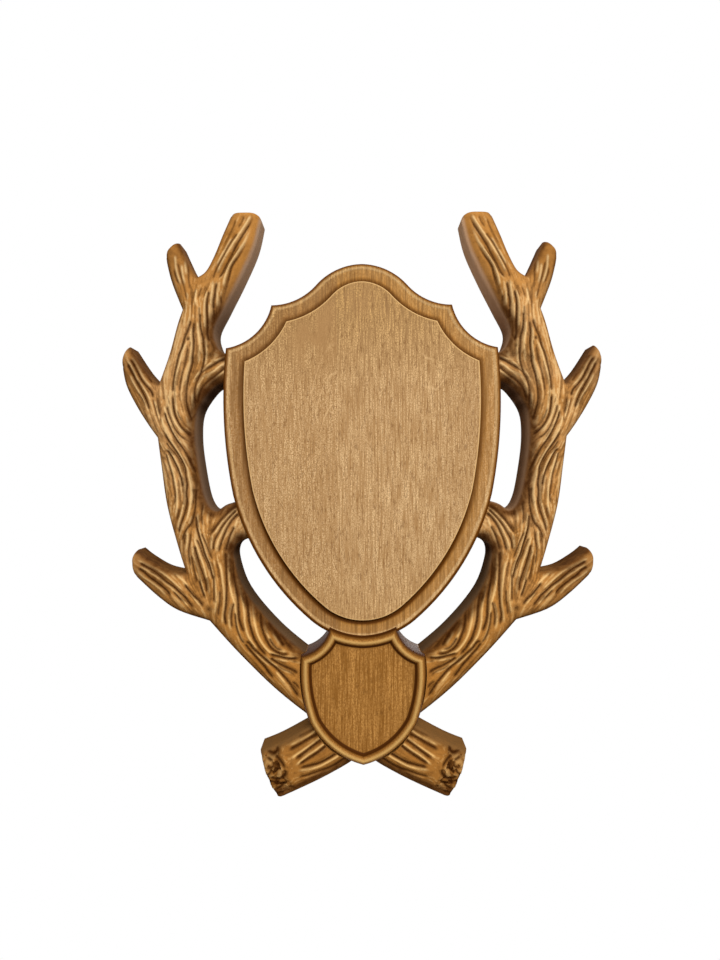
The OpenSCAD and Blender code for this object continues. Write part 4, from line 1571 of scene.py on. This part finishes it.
@dataclass(frozen=True)
class EndGrain:
    """Chipped end of a stump, with a raised lip of bark behind it.

    Attributes:
        reach: How far the chips reach in from the end.
        blend: Distance over which they fade out.
        wobble: Height, pitch and seed of the unevenness of that border.
        lip: Distance from the end, width and height of the lip.
        chips: Height, size and seed of the large and the small facets.
        cut: Share of the facets' height that is carved.
        sink: How far the end is cut down.
        slope: How much further for each millimetre towards the end.
        rim: Distance from the sides over which the facets set in.
        swells: Fullness of the limb between which the chips set in.
    """

    reach: float = 15.5
    blend: float = 2.0
    wobble: tuple[float, float, int] = (1.2, 6.0, 7)
    lip: tuple[float, float, float] = (17.5, 2.0, 1.0)
    chips: tuple[tuple[float, float, int], ...] = ((0.8, 5.2, 5), (0.45, 2.4, 11))
    cut: float = 0.9
    sink: float = 1.2
    slope: float = 0.12
    rim: float = 2.0
    swells: Span = (0.25, 0.6)

    def carve(self, spots: BarkSpots, gap: np.ndarray,
              marks: dict[str, np.ndarray]) -> tuple[np.ndarray, np.ndarray, np.ndarray]:
        """Works out the chips.

        Args:
            spots: Points on the branch.
            gap: Their distances from the stump's end.
            marks: What the branch has there, of which this takes the clear bark and the swell.

        Returns:
            Share of the chipped end, heights of its facets, and what all this adds to the depth.
        """
        height, pitch, seed = self.wobble
        gap = gap + height * lattice_noise(spots.points, pitch, seed)
        rough = smoothstep(self.reach, self.reach - self.blend, gap)
        rough *= smoothstep(*self.swells, marks["swell"])
        facets = sum(high * chip_facets(spots.points, size, draw) for high, size, draw in self.chips)
        place, width, rise = self.lip
        lip = rise * np.exp(-((gap - place) / width) ** 2) * marks["clear"]
        chips = self.cut * facets * smoothstep(0, self.rim, spots.side_gap())
        return rough, facets, lip + rough * (chips - self.sink - self.slope * (self.reach - gap))


@dataclass(frozen=True)
class BarkStain:
    """How stain, painted shade and painted highlight lie on the bark."""

    # Strength of the dark in fine lines and of the painted shade in the pools, and of the pale, partly
    # painted highlight, on fine lines and chips
    fine_groove: float = 0.5
    shade_pool: float = 0.85
    fine_ridge: float = 0.55
    chip_ridge: float = 0.55
    # How far dark grooves cover pale ridges
    cover: float = 0.8
    # Heights of the fine lines and of the chips between which they turn dark or pale
    fine_dark: Span = (-0.15, -0.7)
    fine_pale: Span = (0.2, 0.7)
    chip_dark: Span = (0.1, -0.7)
    chip_pale: Span = (0.1, 0.9)
    # Strength of the painted shade along strokes and outer sides, and of the darkening on chips and twigs
    stroke: float = 0.62
    chip: float = 0.28
    twig: float = 0.4
    edge: float = 0.6
    # How much of the dark along inner sides, stain kept in the recess by the shield with painted shade, is
    # missing on the stump
    stump_lack: float = 0.7
    # Distances from a side between which its shade sets in
    inner_edge: Span = (9.0, 2.5)
    outer_edge: Span = (4.0, 0.8)
    stump_edge: Span = (10.0, 4.0)
    low_edge: Span = (9.0, 2.0)
    # Fullness of the limb between which its bare flank sets in, and how much of it outer sides have
    flank: Span = (0.55, 0.22)
    outer_flank: float = 0.2

    def spread(self, spots: BarkSpots, marks: dict[str, np.ndarray]) -> dict[str, np.ndarray]:
        """Stain values that the vertices keep.

        Args:
            spots: Points on the branch.
            marks: What has been carved there.

        Returns:
            Dark grooves, pale ridges that are partly painted highlight, painted shade with some darker stain,
            and bare flanks, from 0 to 1.
        """
        clear, fine, rough, facets = (marks[name] for name in ("clear", "fine", "rough", "facets"))
        # Painted shade pooled under the stubs
        shade_pool = np.max([blot(spots.points, complex(*place), size) for *place, size in SHADE_POOLS], axis=0)
        groove = np.maximum(marks["groove"], self.fine_groove * smoothstep(*self.fine_dark, fine)) * clear
        ridge = np.maximum(marks["ridge"], self.fine_ridge * smoothstep(*self.fine_pale, fine)) * clear
        chip_groove = rough * smoothstep(*self.chip_dark, facets)
        chip_ridge = self.chip_ridge * rough * smoothstep(*self.chip_pale, facets)
        inner_share = (1 - spots.high) * (1 - self.stump_lack * spots.stump)
        # Dark along the sides: painted shade on the outer sides, the stump's underside and the lower trunk,
        # and on the inner sides stain kept by the shield with painted shade
        edges = [
            (inner_share, self.inner_edge, spots.inner_gap),
            (self.edge, self.outer_edge, spots.outer_gap),
            (spots.stump, self.stump_edge, spots.outer_gap),
            (self.edge * spots.low, self.low_edge, spots.outer_gap),
        ]
        shade = sum(share * smoothstep(*span, gap) for share, span, gap in edges)
        shade += self.twig * spots.twig + self.stroke * marks["shade"] * clear + self.chip * rough
        flank = self.outer_flank + (1 - self.outer_flank) * spots.inner
        return {
            "groove": np.maximum(np.maximum(groove, self.shade_pool * shade_pool), chip_groove),
            "ridge": np.maximum(ridge * (1 - rough), chip_ridge) * (1 - self.cover * groove),
            "shade": np.clip(shade, 0, 1),
            "flank": smoothstep(*self.flank, marks["swell"]) * (1 - rough) * flank,
        }


@dataclass
class BranchCarving:
    """The pair of carved branches, drawn as the right one and mirrored for the left.

    A span is a pair of places, or of distances from an edge, between which something sets in.
    """

    shield: ShieldOutline
    name_shield: ShieldOutline
    dowels: StubDowels
    end: EndGrain = EndGrain()
    stain: BarkStain = BarkStain()
    # Form of the limbs
    side: float = 106.0
    wall: float = 20.0
    stump_wall: float = 25.0
    crest: float = 34.0
    most_proud: float = 3.5
    fullness: float = 0.45
    leanness: float = 0.35
    end_ease: float = 0.28
    limb_blend: float = 3.0
    inner_blend: float = 2.0
    # Fineness of the mesh and of the curves
    pitch: float = 0.65
    rim: float = 3.0
    rim_shares: tuple[float, ...] = (1.0, 0.72, 0.46, 0.25, 0.1, 0.0)
    wall_rows: tuple[Span, ...] = ((0.66, 0), (0.33, 0), (0.03, 0), (0.0, 1))
    back_ease: float = 0.6
    rim_evening: int = 2
    corner_evening: int = 60
    run_steps: int = 5
    curve_steps: int = 4
    # Screws through the crossing
    screw_shank: float = 4.0
    screw_length: float = 29.0
    screw_pitch: float = 20.0
    crossing: float = -306.3
    # Parts of the branch
    stump_across: Span = (8.0, -16.0)
    high_up: Span = (0.0, 45.0)
    low_up: Span = (-190.0, -235.0)
    twig_across: Span = (126.0, 140.0)
    twig_drop: Span = (2.0, 6.0)
    # Strip along the inner sides, and rims, that have no bark
    bare_across: Span = (110.0, 118.0)
    bare_up: Span = (5.0, 15.0)
    bare_strip: Span = (3.5, 1.0)
    high_bare_strip: Span = (8.0, 5.0)
    smooth_rim: Span = (0.4, 2.6)
    # Strokes of the gouges, with the knots
    stroke_reach: float = 5.0
    stroke_start: Span = (-1.0, 1.5)
    stroke_end: Span = (-1.0, 3.0)
    taper: float = 0.4
    low_breadth: float = 0.35
    bowl: float = 1.7
    ridge_width: float = 1.5
    ridge_height: float = 0.5
    knot_size: float = 1.3
    knot_depth: float = 1.6
    # Fine lines between the strokes, and soft bumps
    flow_blend: float = 2.0
    line_reach: float = 9.0
    line_steps: int = 25
    line_pitch: float = 1.25
    line_seed: int = 21
    line_height: float = 0.3
    high_calm: float = 0.5
    low_calm: float = 0.45
    stump_calm: float = 0.55
    bump_height: float = 0.4
    bump_pitch: float = 9.0
    bump_seed: int = 3

    def gap_to(self, points: np.ndarray, *kinds: Edge) -> np.ndarray:
        """Distance of flat points from the nearest stretch of the outline of some kinds."""
        lines = [self.side + whole_run(run, self.run_steps) for edge, run in BRANCH_EDGES if edge in kinds]
        return np.min([nearest(points, line)[0] for line in lines], axis=0)

    def outline(self) -> np.ndarray:
        """Closed outline, its last point equal to its first."""
        loop = np.concatenate([as_flat(smooth_run(run, self.run_steps)) for _, run in BRANCH_EDGES])
        return self.side + np.append(loop, loop[0])

    def near_stroke(self, points: np.ndarray, stroke: Run) -> tuple[np.ndarray, np.ndarray, np.ndarray]:
        """Points that a stroke can reach.

        Args:
            points: Flat points on the branch.
            stroke: Places along the stroke.

        Returns:
            Places of those points in the array, how far each lies from the stroke, and the stroke's
            fullness there.
        """
        line = whole_run(stroke, self.curve_steps)
        across, up = np.ptp(line.real) / 2 + self.stroke_reach, np.ptp(line.imag) / 2 + self.stroke_reach
        middle = complex(line.real.min() + line.real.max(), line.imag.min() + line.imag.max()) / 2
        away = points - middle
        near = np.flatnonzero((np.abs(away.real) < across) & (np.abs(away.imag) < up))
        away, place = nearest(points[near], line)
        lengths = np.append(0, np.cumsum(np.abs(np.diff(line))))
        along = np.interp(place, np.arange(len(line)), lengths)
        full = smoothstep(*self.stroke_start, along) * smoothstep(*self.stroke_end, lengths[-1] - along)
        return near, away, full

    def limb_sizes(self, points: np.ndarray) -> tuple[np.ndarray, np.ndarray]:
        """Sizes of the limbs.

        Args:
            points: Flat points on the branch.

        Returns:
            Half width of the limb at each point, and the drop of its crest below the trunk's.
        """
        weight, half, drop = (np.zeros(points.shape) for _ in range(3))
        for out, up, width, low in np.concatenate([smooth_run(limb, self.curve_steps) for limb in LIMBS]):
            share = 1 / (np.abs(points - complex(self.side + out, up)) ** 2 + self.limb_blend ** 2) ** 2
            weight, half, drop = weight + share, half + share * width, drop + share * low
        return half / weight, drop / weight

    def spots(self, points: np.ndarray) -> BarkSpots:
        """Works out where on the branch some points lie.

        Args:
            points: Flat points on the branch.

        Returns:
            The points, with what was found.
        """
        outer_gap, inner_gap = (self.gap_to(points, edge) for edge in (Edge.SIDE, Edge.INNER_SIDE))
        half, drop = self.limb_sizes(points)
        return BarkSpots(
            points, outer_gap, inner_gap, half, drop,
            inner=smoothstep(self.inner_blend, -self.inner_blend, inner_gap - outer_gap),
            high=smoothstep(*self.high_up, points.imag),
            low=smoothstep(*self.low_up, points.imag),
            stump=smoothstep(*self.stump_across, points.real),
            twig=smoothstep(*self.twig_across, points.real) * smoothstep(*self.twig_drop, drop))

    def gouged(self, spots: BarkSpots) -> dict[str, np.ndarray]:
        """What the gouges did.

        Args:
            spots: Points on the branch.

        Returns:
            Depth of the cut in millimetres, darkness of the groove, paleness of the ridges and soft shade.
        """
        points = spots.points
        found = {name: np.zeros(points.shape) for name in ("cut", "groove", "ridge", "shade")}
        for gouge, strokes in BARK_STROKES.items():
            width, depth, dark = gouge.value
            for stroke in strokes:
                near, away, full = self.near_stroke(points, stroke)
                breadth = width * (1 - self.taper * (1 - full)) * (1 + self.low_breadth * spots.low[near])
                marks = {"cut": depth * bell(away / (self.bowl * breadth)),
                         "groove": dark * bell(away / breadth), "shade": dark * np.exp(-away / width)}
                for name, mark in marks.items():
                    found[name][near] = np.maximum(found[name][near], mark * full)
        for stroke in BARK_RIDGES:
            near, away, full = self.near_stroke(points, stroke)
            found["ridge"][near] = np.maximum(found["ridge"][near], full * bell(away / self.ridge_width))
        for knot in BARK_KNOTS:
            pit = blot(points, complex(*knot), self.knot_size)
            found["cut"] = np.maximum(found["cut"], self.knot_depth * pit)
            found["groove"] = np.maximum(found["groove"], pit)
        return found

    def flow(self, points: np.ndarray) -> np.ndarray:
        """Direction of the bark, taken from the strokes around each point.

        Args:
            points: Flat points on the branch.

        Returns:
            Unit steps along the bark.
        """
        pull = np.zeros(points.shape, complex)
        for stroke in (stroke for strokes in BARK_STROKES.values() for stroke in strokes):
            line = as_flat(np.array(stroke, float))
            for start, step in zip(line[:-1], np.diff(line)):
                away = np.abs(points - start - step / 2)
                weight = abs(step) / (away ** 2 + self.flow_blend ** 2) ** 1.5
                pull += weight * (step / abs(step)) ** 2
        return np.exp(0.5j * np.angle(pull))

    def fine_lines(self, spots: BarkSpots) -> np.ndarray:
        """Fine lines between the strokes, drawn out along the bark.

        Args:
            spots: Points on the branch.

        Returns:
            Heights between -1 and 1.
        """
        way = self.flow(spots.points)
        steps = np.linspace(-self.line_reach, self.line_reach, self.line_steps)
        draws = (lattice_noise(spots.points + step * way, self.line_pitch, self.line_seed) for step in steps)
        lines = np.clip(sum(draws) / math.sqrt(self.line_steps), -1, 1)
        calm = np.maximum(self.stump_calm * spots.stump, self.low_calm * spots.low)
        return lines * (1 - self.high_calm * spots.twig) * (1 - self.high_calm * spots.high) * (1 - calm)

    def rounded(self, spots: BarkSpots) -> tuple[np.ndarray, np.ndarray]:
        """Form of the limbs before they are carved.

        Args:
            spots: Points on the branch.

        Returns:
            Depth from the wall, and how full the limb is, from 0 at its sides to 1 on its crest.
        """
        foot = self.wall + (self.stump_wall - self.wall) * spots.stump
        reach = np.clip(1 - spots.side_gap() / spots.half, 0, 1)
        lean = self.leanness * (spots.inner * spots.high + spots.stump)
        swell = (1 - reach ** 2) ** (self.fullness + lean)
        depth = foot + (self.crest - spots.drop - foot) * swell
        ease = self.end_ease * spots.half
        worn = np.clip(1 - self.gap_to(spots.points, Edge.CUT_END, Edge.STUMP_END) / ease, 0, 1)
        return depth - ease * (1 - np.sqrt(1 - worn ** 2)), swell

    def cleared(self, spots: BarkSpots) -> np.ndarray:
        """Where the limbs have bark.

        Args:
            spots: Points on the branch.

        Returns:
            1 on the bark, and 0 on the rims and the bare strip.
        """
        across = smoothstep(*self.bare_across, spots.points.real)
        up = smoothstep(*self.bare_up, spots.points.imag)
        strips = zip(self.bare_strip, self.high_bare_strip)
        start, end = (low + (high - low) * spots.high for low, high in strips)
        bare = np.maximum(across, up) * smoothstep(start, end, spots.inner_gap)
        return smoothstep(*self.smooth_rim, spots.side_gap()) * (1 - bare)

    def relief(self, points: np.ndarray) -> dict[str, np.ndarray]:
        """Carved front of the branch.

        Args:
            points: Flat points on the branch.

        Returns:
            Depth from the wall, and the stain values that the vertices keep.
        """
        spots = self.spots(points)
        marks = self.gouged(spots)
        depth, marks["swell"] = self.rounded(spots)
        clear = self.cleared(spots)
        fine = self.fine_lines(spots) * clear
        marks |= {"clear": clear, "fine": fine}
        bumps = self.bump_height * lattice_noise(points, self.bump_pitch, self.bump_seed)
        depth += (bumps + self.ridge_height * marks["ridge"] - marks["cut"]) * clear + self.line_height * fine
        end_gap = self.gap_to(points, Edge.STUMP_END)
        marks["rough"], marks["facets"], chips = self.end.carve(spots, end_gap, marks)
        depth = np.minimum(depth + chips, self.crest + self.most_proud)
        return {"depth": depth, **self.stain.spread(spots, marks)}

    def inner_sheet(self, outline: np.ndarray) -> BMesh:
        """Flat lattice over the branch.

        Args:
            outline: Closed outline of the branch.

        Returns:
            Mesh that ends one rim's width inside the outline.
        """
        low = complex(outline.real.min(), outline.imag.min())
        span = complex(outline.real.max(), outline.imag.max()) - low
        columns, rows = math.ceil(span.real / self.pitch), math.ceil(span.imag / self.pitch)
        bm = bmesh.new()
        bmesh.ops.create_grid(bm, x_segments=columns, y_segments=rows, size=1)
        size = Vector((columns * self.pitch, rows * self.pitch, 2)) / 2
        spread = Matrix.Translation((low.real + size.x, low.imag + size.y, 0)) @ Matrix.Diagonal((*size, 1))
        bmesh.ops.transform(bm, matrix=spread, verts=bm.verts[:])
        centres = np.array([f.calc_center_median()[:2] for f in bm.faces])
        flat = as_flat(centres)
        kept = inside(flat, outline)
        kept[kept] = nearest(flat[kept], outline)[0] > self.rim
        bmesh.ops.delete(bm, geom=[f for f, keep in zip(bm.faces[:], kept) if not keep], context="FACES")
        return bm

    def rim_loop(self, bm: BMesh) -> list[BMVert]:
        """Finds the border of a sheet.

        Args:
            bm: The sheet.

        Returns:
            Vertices of the border, in order.
        """
        edge = next(e for e in bm.edges if e.is_boundary)
        loop, here = [edge.verts[0]], edge.verts[1]
        while here is not loop[0]:
            loop.append(here)
            edge = next(e for e in here.link_edges if e.is_boundary and e is not edge)
            here = edge.other_vert(here)
        return loop

    def widened(self, bm: BMesh, loop: list[BMVert]) -> list[BMVert]:
        """Extrudes a closed loop.

        Args:
            bm: The mesh.
            loop: Vertices of the loop, in order.

        Returns:
            The new vertices, in the same order.
        """
        edges = [bm.edges.get(pair) for pair in zip(loop, loop[1:] + loop[:1])]
        made = {v for v in bmesh.ops.extrude_edge_only(bm, edges=edges)["geom"] if isinstance(v, BMVert)}
        return [next(e.other_vert(v) for e in v.link_edges if e.other_vert(v) in made) for v in loop]

    def rim_places(self, loop: np.ndarray, outline: np.ndarray) -> np.ndarray:
        """Places on the outline for the border of the sheet, spread evenly round corners.

        Args:
            loop: Flat points of the border, in order.
            outline: Closed outline of the branch.

        Returns:
            Flat point on the outline for each of the border.
        """
        lengths = np.append(0, np.cumsum(np.abs(np.diff(outline))))
        along = np.interp(nearest(loop, outline)[1], np.arange(len(outline)), lengths)
        along = np.unwrap(along, period=lengths[-1])
        turn = np.sign(along[-1] - along[0]) * lengths[-1]
        even = along[0] + turn * np.arange(len(loop)) / len(loop)
        along = (even + evened(along - even, self.corner_evening)) % lengths[-1]
        return np.interp(along, lengths, outline.real) + 1j * np.interp(along, lengths, outline.imag)

    def blank(self) -> BMesh:
        """The right branch as if it stood alone.

        Returns:
            Closed mesh with a carved front, walls and a flat back.
        """
        outline = self.outline()
        bm = self.inner_sheet(outline)
        layers = {name: bm.verts.layers.float.new(name) for name in ("groove", "ridge", "shade", "flank")}
        loop = self.rim_loop(bm)
        inner = evened(np.array([complex(*v.co[:2]) for v in loop]), self.rim_evening)
        outer = self.rim_places(inner, outline)
        for share in self.rim_shares:
            if share < 1:
                loop = self.widened(bm, loop)
            for vert, place in zip(loop, outer + share * (inner - outer)):
                vert.co = (place.real, place.imag, 0)
        found = self.relief(np.array([complex(*v.co[:2]) for v in bm.verts]))
        for place, vert in enumerate(bm.verts):
            vert.co.z = found["depth"][place]
            for name, layer in layers.items():
                vert[layer] = found[name][place]
        tops = [vert.co.z for vert in loop]
        tuck = self.back_ease * (inner - outer) / np.abs(inner - outer)
        for share, inset in self.wall_rows:
            loop = self.widened(bm, loop)
            for vert, place, top in zip(loop, outer + inset * tuck, tops):
                vert.co = (place.real, place.imag, share * top)
        close_holes(bm)
        bmesh.ops.recalc_face_normals(bm, faces=bm.faces[:])
        return bm

    def lap(self, hand: Hand, low: float, high: float) -> BMesh:
        """Room that one branch takes in the crossing, between two depths."""
        loop = self.outline()[:-1]
        return prism(loop if hand is Hand.RIGHT else -loop.conjugate(), low, high)

    def screw_places(self) -> list[complex]:
        """Flat places of the two screws through the crossing."""
        return [1j * (self.crossing + step * self.screw_pitch) for step in (-0.5, 0.5)]

    def screw_holes(self) -> BMesh:
        """Holes for the screws through the crossing.

        Returns:
            Cutter for both holes.
        """
        reach = self.screw_shank / 2 + GAP
        hole = [(2 * reach, -OVERSHOOT), (2 * reach, 0), (reach, reach), (reach, self.screw_length + GAP)]
        return at(turned(hole, SCREW_SIDES), self.screw_places())

    def build(self) -> None:
        """Makes both branches and the screws through their crossing."""
        bark = BarkFinish().material()
        blank = self.blank()
        front, middle = 2 * self.crest, self.wall / 2
        for hand, name in ((Hand.LEFT, "left_branch"), (Hand.RIGHT, "right_branch")):
            wood = blank.copy()
            if hand is Hand.LEFT:
                moved(wood, Matrix.Scale(-1, 4, (1, 0, 0)))
                lap = self.lap(Hand.RIGHT, middle, front)
            else:
                lap = self.lap(Hand.LEFT, -OVERSHOOT, middle)
            cutters = [prism(self.shield.ring(-GAP), -OVERSHOOT, front), lap,
                       prism(self.name_shield.ring(-GAP), self.wall, front),
                       joined([self.dowels.holes(hand), self.screw_holes()])]
            add_piece(carved(wood, cutters), name, bark, crease=50.0)
        blank.free()
        WoodScrew(self.screw_shank, self.screw_length).build("crossing_screws", self.screw_places())


@dataclass
class NameShield:
    """Small shield with a beaded rim and a recessed field, over the crossing of the branches."""

    outline: ShieldOutline
    shield: ShieldOutline
    branches: BranchCarving
    rim_front: float = 37.98
    field_front: float = 33.0
    rim_width: float = 9.2
    border_thick: float = 30.0

    def profile(self) -> list[tuple[float, float, float]]:
        """Moulding from the back edge to the field.

        Returns:
            Inset, depth and stain of each row.
        """
        low, high, width = self.field_front, self.rim_front, self.rim_width
        # Stain across the rim: a pale crest of rubbed stain with a painted highlight, and dark coves
        shape = [
            (0.0, low - 2.2, 0.9), (0.02, low - 0.8, 0.8), (0.06, low + 0.5, 0.55), (0.12, low + 1.8, 0.4),
            (0.21, low + 3.3, 0.25), (0.30, high - 0.95, 0.0), (0.38, high - 0.3, -0.5), (0.46, high, -0.8),
            (0.54, high - 0.15, -0.7), (0.61, high - 0.6, -0.4), (0.68, high - 1.4, 0.05),
            (0.75, high - 2.5, 0.3), (0.82, low + 1.4, 0.6), (0.88, low + 0.5, 1.0), (0.93, low + 0.1, 0.8),
            (0.98, low, 0.3), (1.02, low, 0.1), (1.08, low, 0.0), (1.22, low, 0.0),
        ]
        rows = [(0.5, 0.0, 0.0), (0.0, 0.5, 0.45), (0.0, 14.0, 0.45)]
        return rows + [(share * width, depth, tone) for share, depth, tone in shape]

    def build(self) -> None:
        """Makes the name shield."""
        rows = self.profile()
        rings = [level(self.outline.ring(inset), depth) for inset, depth, _ in rows]
        whole = tube(rings, [tone for _, _, tone in rows])
        cutters = [prism(self.shield.ring(-GAP), -OVERSHOOT, self.border_thick + GAP)]
        cutters += [self.branches.lap(hand, -OVERSHOOT, self.branches.wall + GAP) for hand in Hand]
        cutters.append(self.branches.screw_holes())
        finish = BoardFinish("name board", pale=(0.62, 0.305, 0.082), deep=(0.235, 0.092, 0.014),
                             warm=(0.62, 0.305, 0.082), amber=(0.39, 0.168, 0.032),
                             stain=(0.070, 0.020, 0.002), gilt_and_highlight=(0.64, 0.38, 0.12),
                             shift=(3.3, 1.7, 0.61), speckle=0.6, streak=0.42, pore=0.3, fineness=1.5)
        add_piece(carved(whole, cutters), "name_shield", finish.material(), crease=30.0)


@dataclass
class Studio:
    """Floor, soft lights, white surroundings and the camera at the photograph's place."""

    floor_height: float = -0.95
    floor_reach: float = 0.62
    floor_colour: Colour = (0.86, 0.86, 0.85)
    floor_shade: Colour = (0.80, 0.80, 0.79)
    focal: float = 26.175
    sensor: float = 36.0
    eye: Colour = (-0.00185, -0.560, -0.120)
    roll: float = 0.0041
    aim: Colour = (0.0, 0.0, -0.13)
    ambient: float = 0.07
    lamps: tuple[tuple[str, Colour, float, float], ...] = (
        ("upper softbox", (0.35, -2.4, 1.3), 1.6, 69),
        ("right softbox", (1.6, -1.0, 0.3), 0.9, 12),
        ("left softbox", (-1.6, -1.0, 0.3), 0.9, 8),
        ("back softbox", (0.5, 2.2, 0.7), 1.6, 30),
    )

    def lamp(self, name: str, place: Colour, size: float, power: float) -> None:
        """Adds a square soft light that faces the plaque.

        Args:
            name: Name of the light.
            place: Where it stands.
            size: Length of its sides.
            power: Its power in watts.
        """
        light = bpy.data.lights.new(name, "AREA")
        light.size = size
        light.energy = power
        obj = in_scene(name, light)
        obj.location = place
        obj.rotation_euler = (Vector(self.aim) - Vector(place)).to_track_quat("-Z", "Y").to_euler()

    def floor(self) -> None:
        """Pale floor below the plaque."""
        bm = bmesh.new()
        bmesh.ops.create_grid(bm, x_segments=8, y_segments=8, size=self.floor_reach)
        bmesh.ops.translate(bm, vec=(0, 0, self.floor_height), verts=bm.verts[:])
        mesh = as_mesh(bm, "floor")
        shader = Shader("pale floor")
        grain = shader.noise(60, detail=3.0)
        tint = shader.coat(self.floor_colour, self.floor_shade, grain, 0.3, 0.7)
        mesh.materials.append(shader.finish(tint, 0.7, grain, 0.05))
        in_scene("floor", mesh)

    def surroundings(self) -> None:
        """World that is white to the eye and in gloss, and a plain soft light elsewhere."""
        world = bpy.data.worlds.new("surroundings")
        world.use_nodes = True
        tree = world.node_tree
        path = tree.nodes.new("ShaderNodeLightPath")
        seen = path.outputs["Is Camera Ray"]
        for kind in ("Is Glossy Ray", "Is Transmission Ray"):
            either = tree.nodes.new("ShaderNodeMath")
            either.operation = "MAXIMUM"
            tree.links.new(seen, either.inputs[0])
            tree.links.new(path.outputs[kind], either.inputs[1])
            seen = either.outputs[0]
        strength = tree.nodes.new("ShaderNodeMapRange")
        strength.inputs["To Min"].default_value = self.ambient
        tree.links.new(seen, strength.inputs["Value"])
        background = tree.nodes["Background"]
        tree.links.new(strength.outputs[0], background.inputs["Strength"])
        background.inputs["Color"].default_value = (1, 1, 1, 1)
        bpy.context.scene.world = world

    def camera(self) -> None:
        """Camera straight in front of the plaque, with the photograph's slight roll."""
        data = bpy.data.cameras.new("camera")
        data.sensor_fit = "VERTICAL"
        data.sensor_height = self.sensor
        data.lens = self.focal
        obj = in_scene("camera", data)
        obj.location = self.eye
        obj.rotation_euler = (math.pi / 2, self.roll, 0)
        bpy.context.scene.camera = obj

    def build(self) -> None:
        """Sets the scene."""
        bpy.context.scene.view_settings.view_transform = "Standard"
        self.camera()
        self.floor()
        self.surroundings()
        for lamp in self.lamps:
            self.lamp(*lamp)


def main() -> None:
    """Builds the pieces in order."""
    logging.basicConfig(level=logging.INFO, format="%(name)s %(message)s")
    Studio().build()
    shield = ShieldOutline(
        (44.8j, 34.5 + 29.2j, 69 + 13.6j, 103.8 - 19j, 98.8 - 131j, 40 - 226.8j, -241.6j),
        (3.9, -4.1, -7.4, 4.3, 8.8, 3.8))
    small = ShieldOutline(
        (-238.0j, 25.2 - 231.5j, 47.2 - 252.5j, 41 - 303j, -335.5j), (-1.5, -4.6, 3, 5.6))
    hanger = WallHanger()
    dowels = StubDowels(shield)
    MouldedShield(shield, hanger, dowels).build()
    branches = BranchCarving(shield, small, dowels)
    branches.build()
    NameShield(small, shield, branches).build()
    dowels.build()
    hanger.build()


if __name__ == "__main__":
    main()
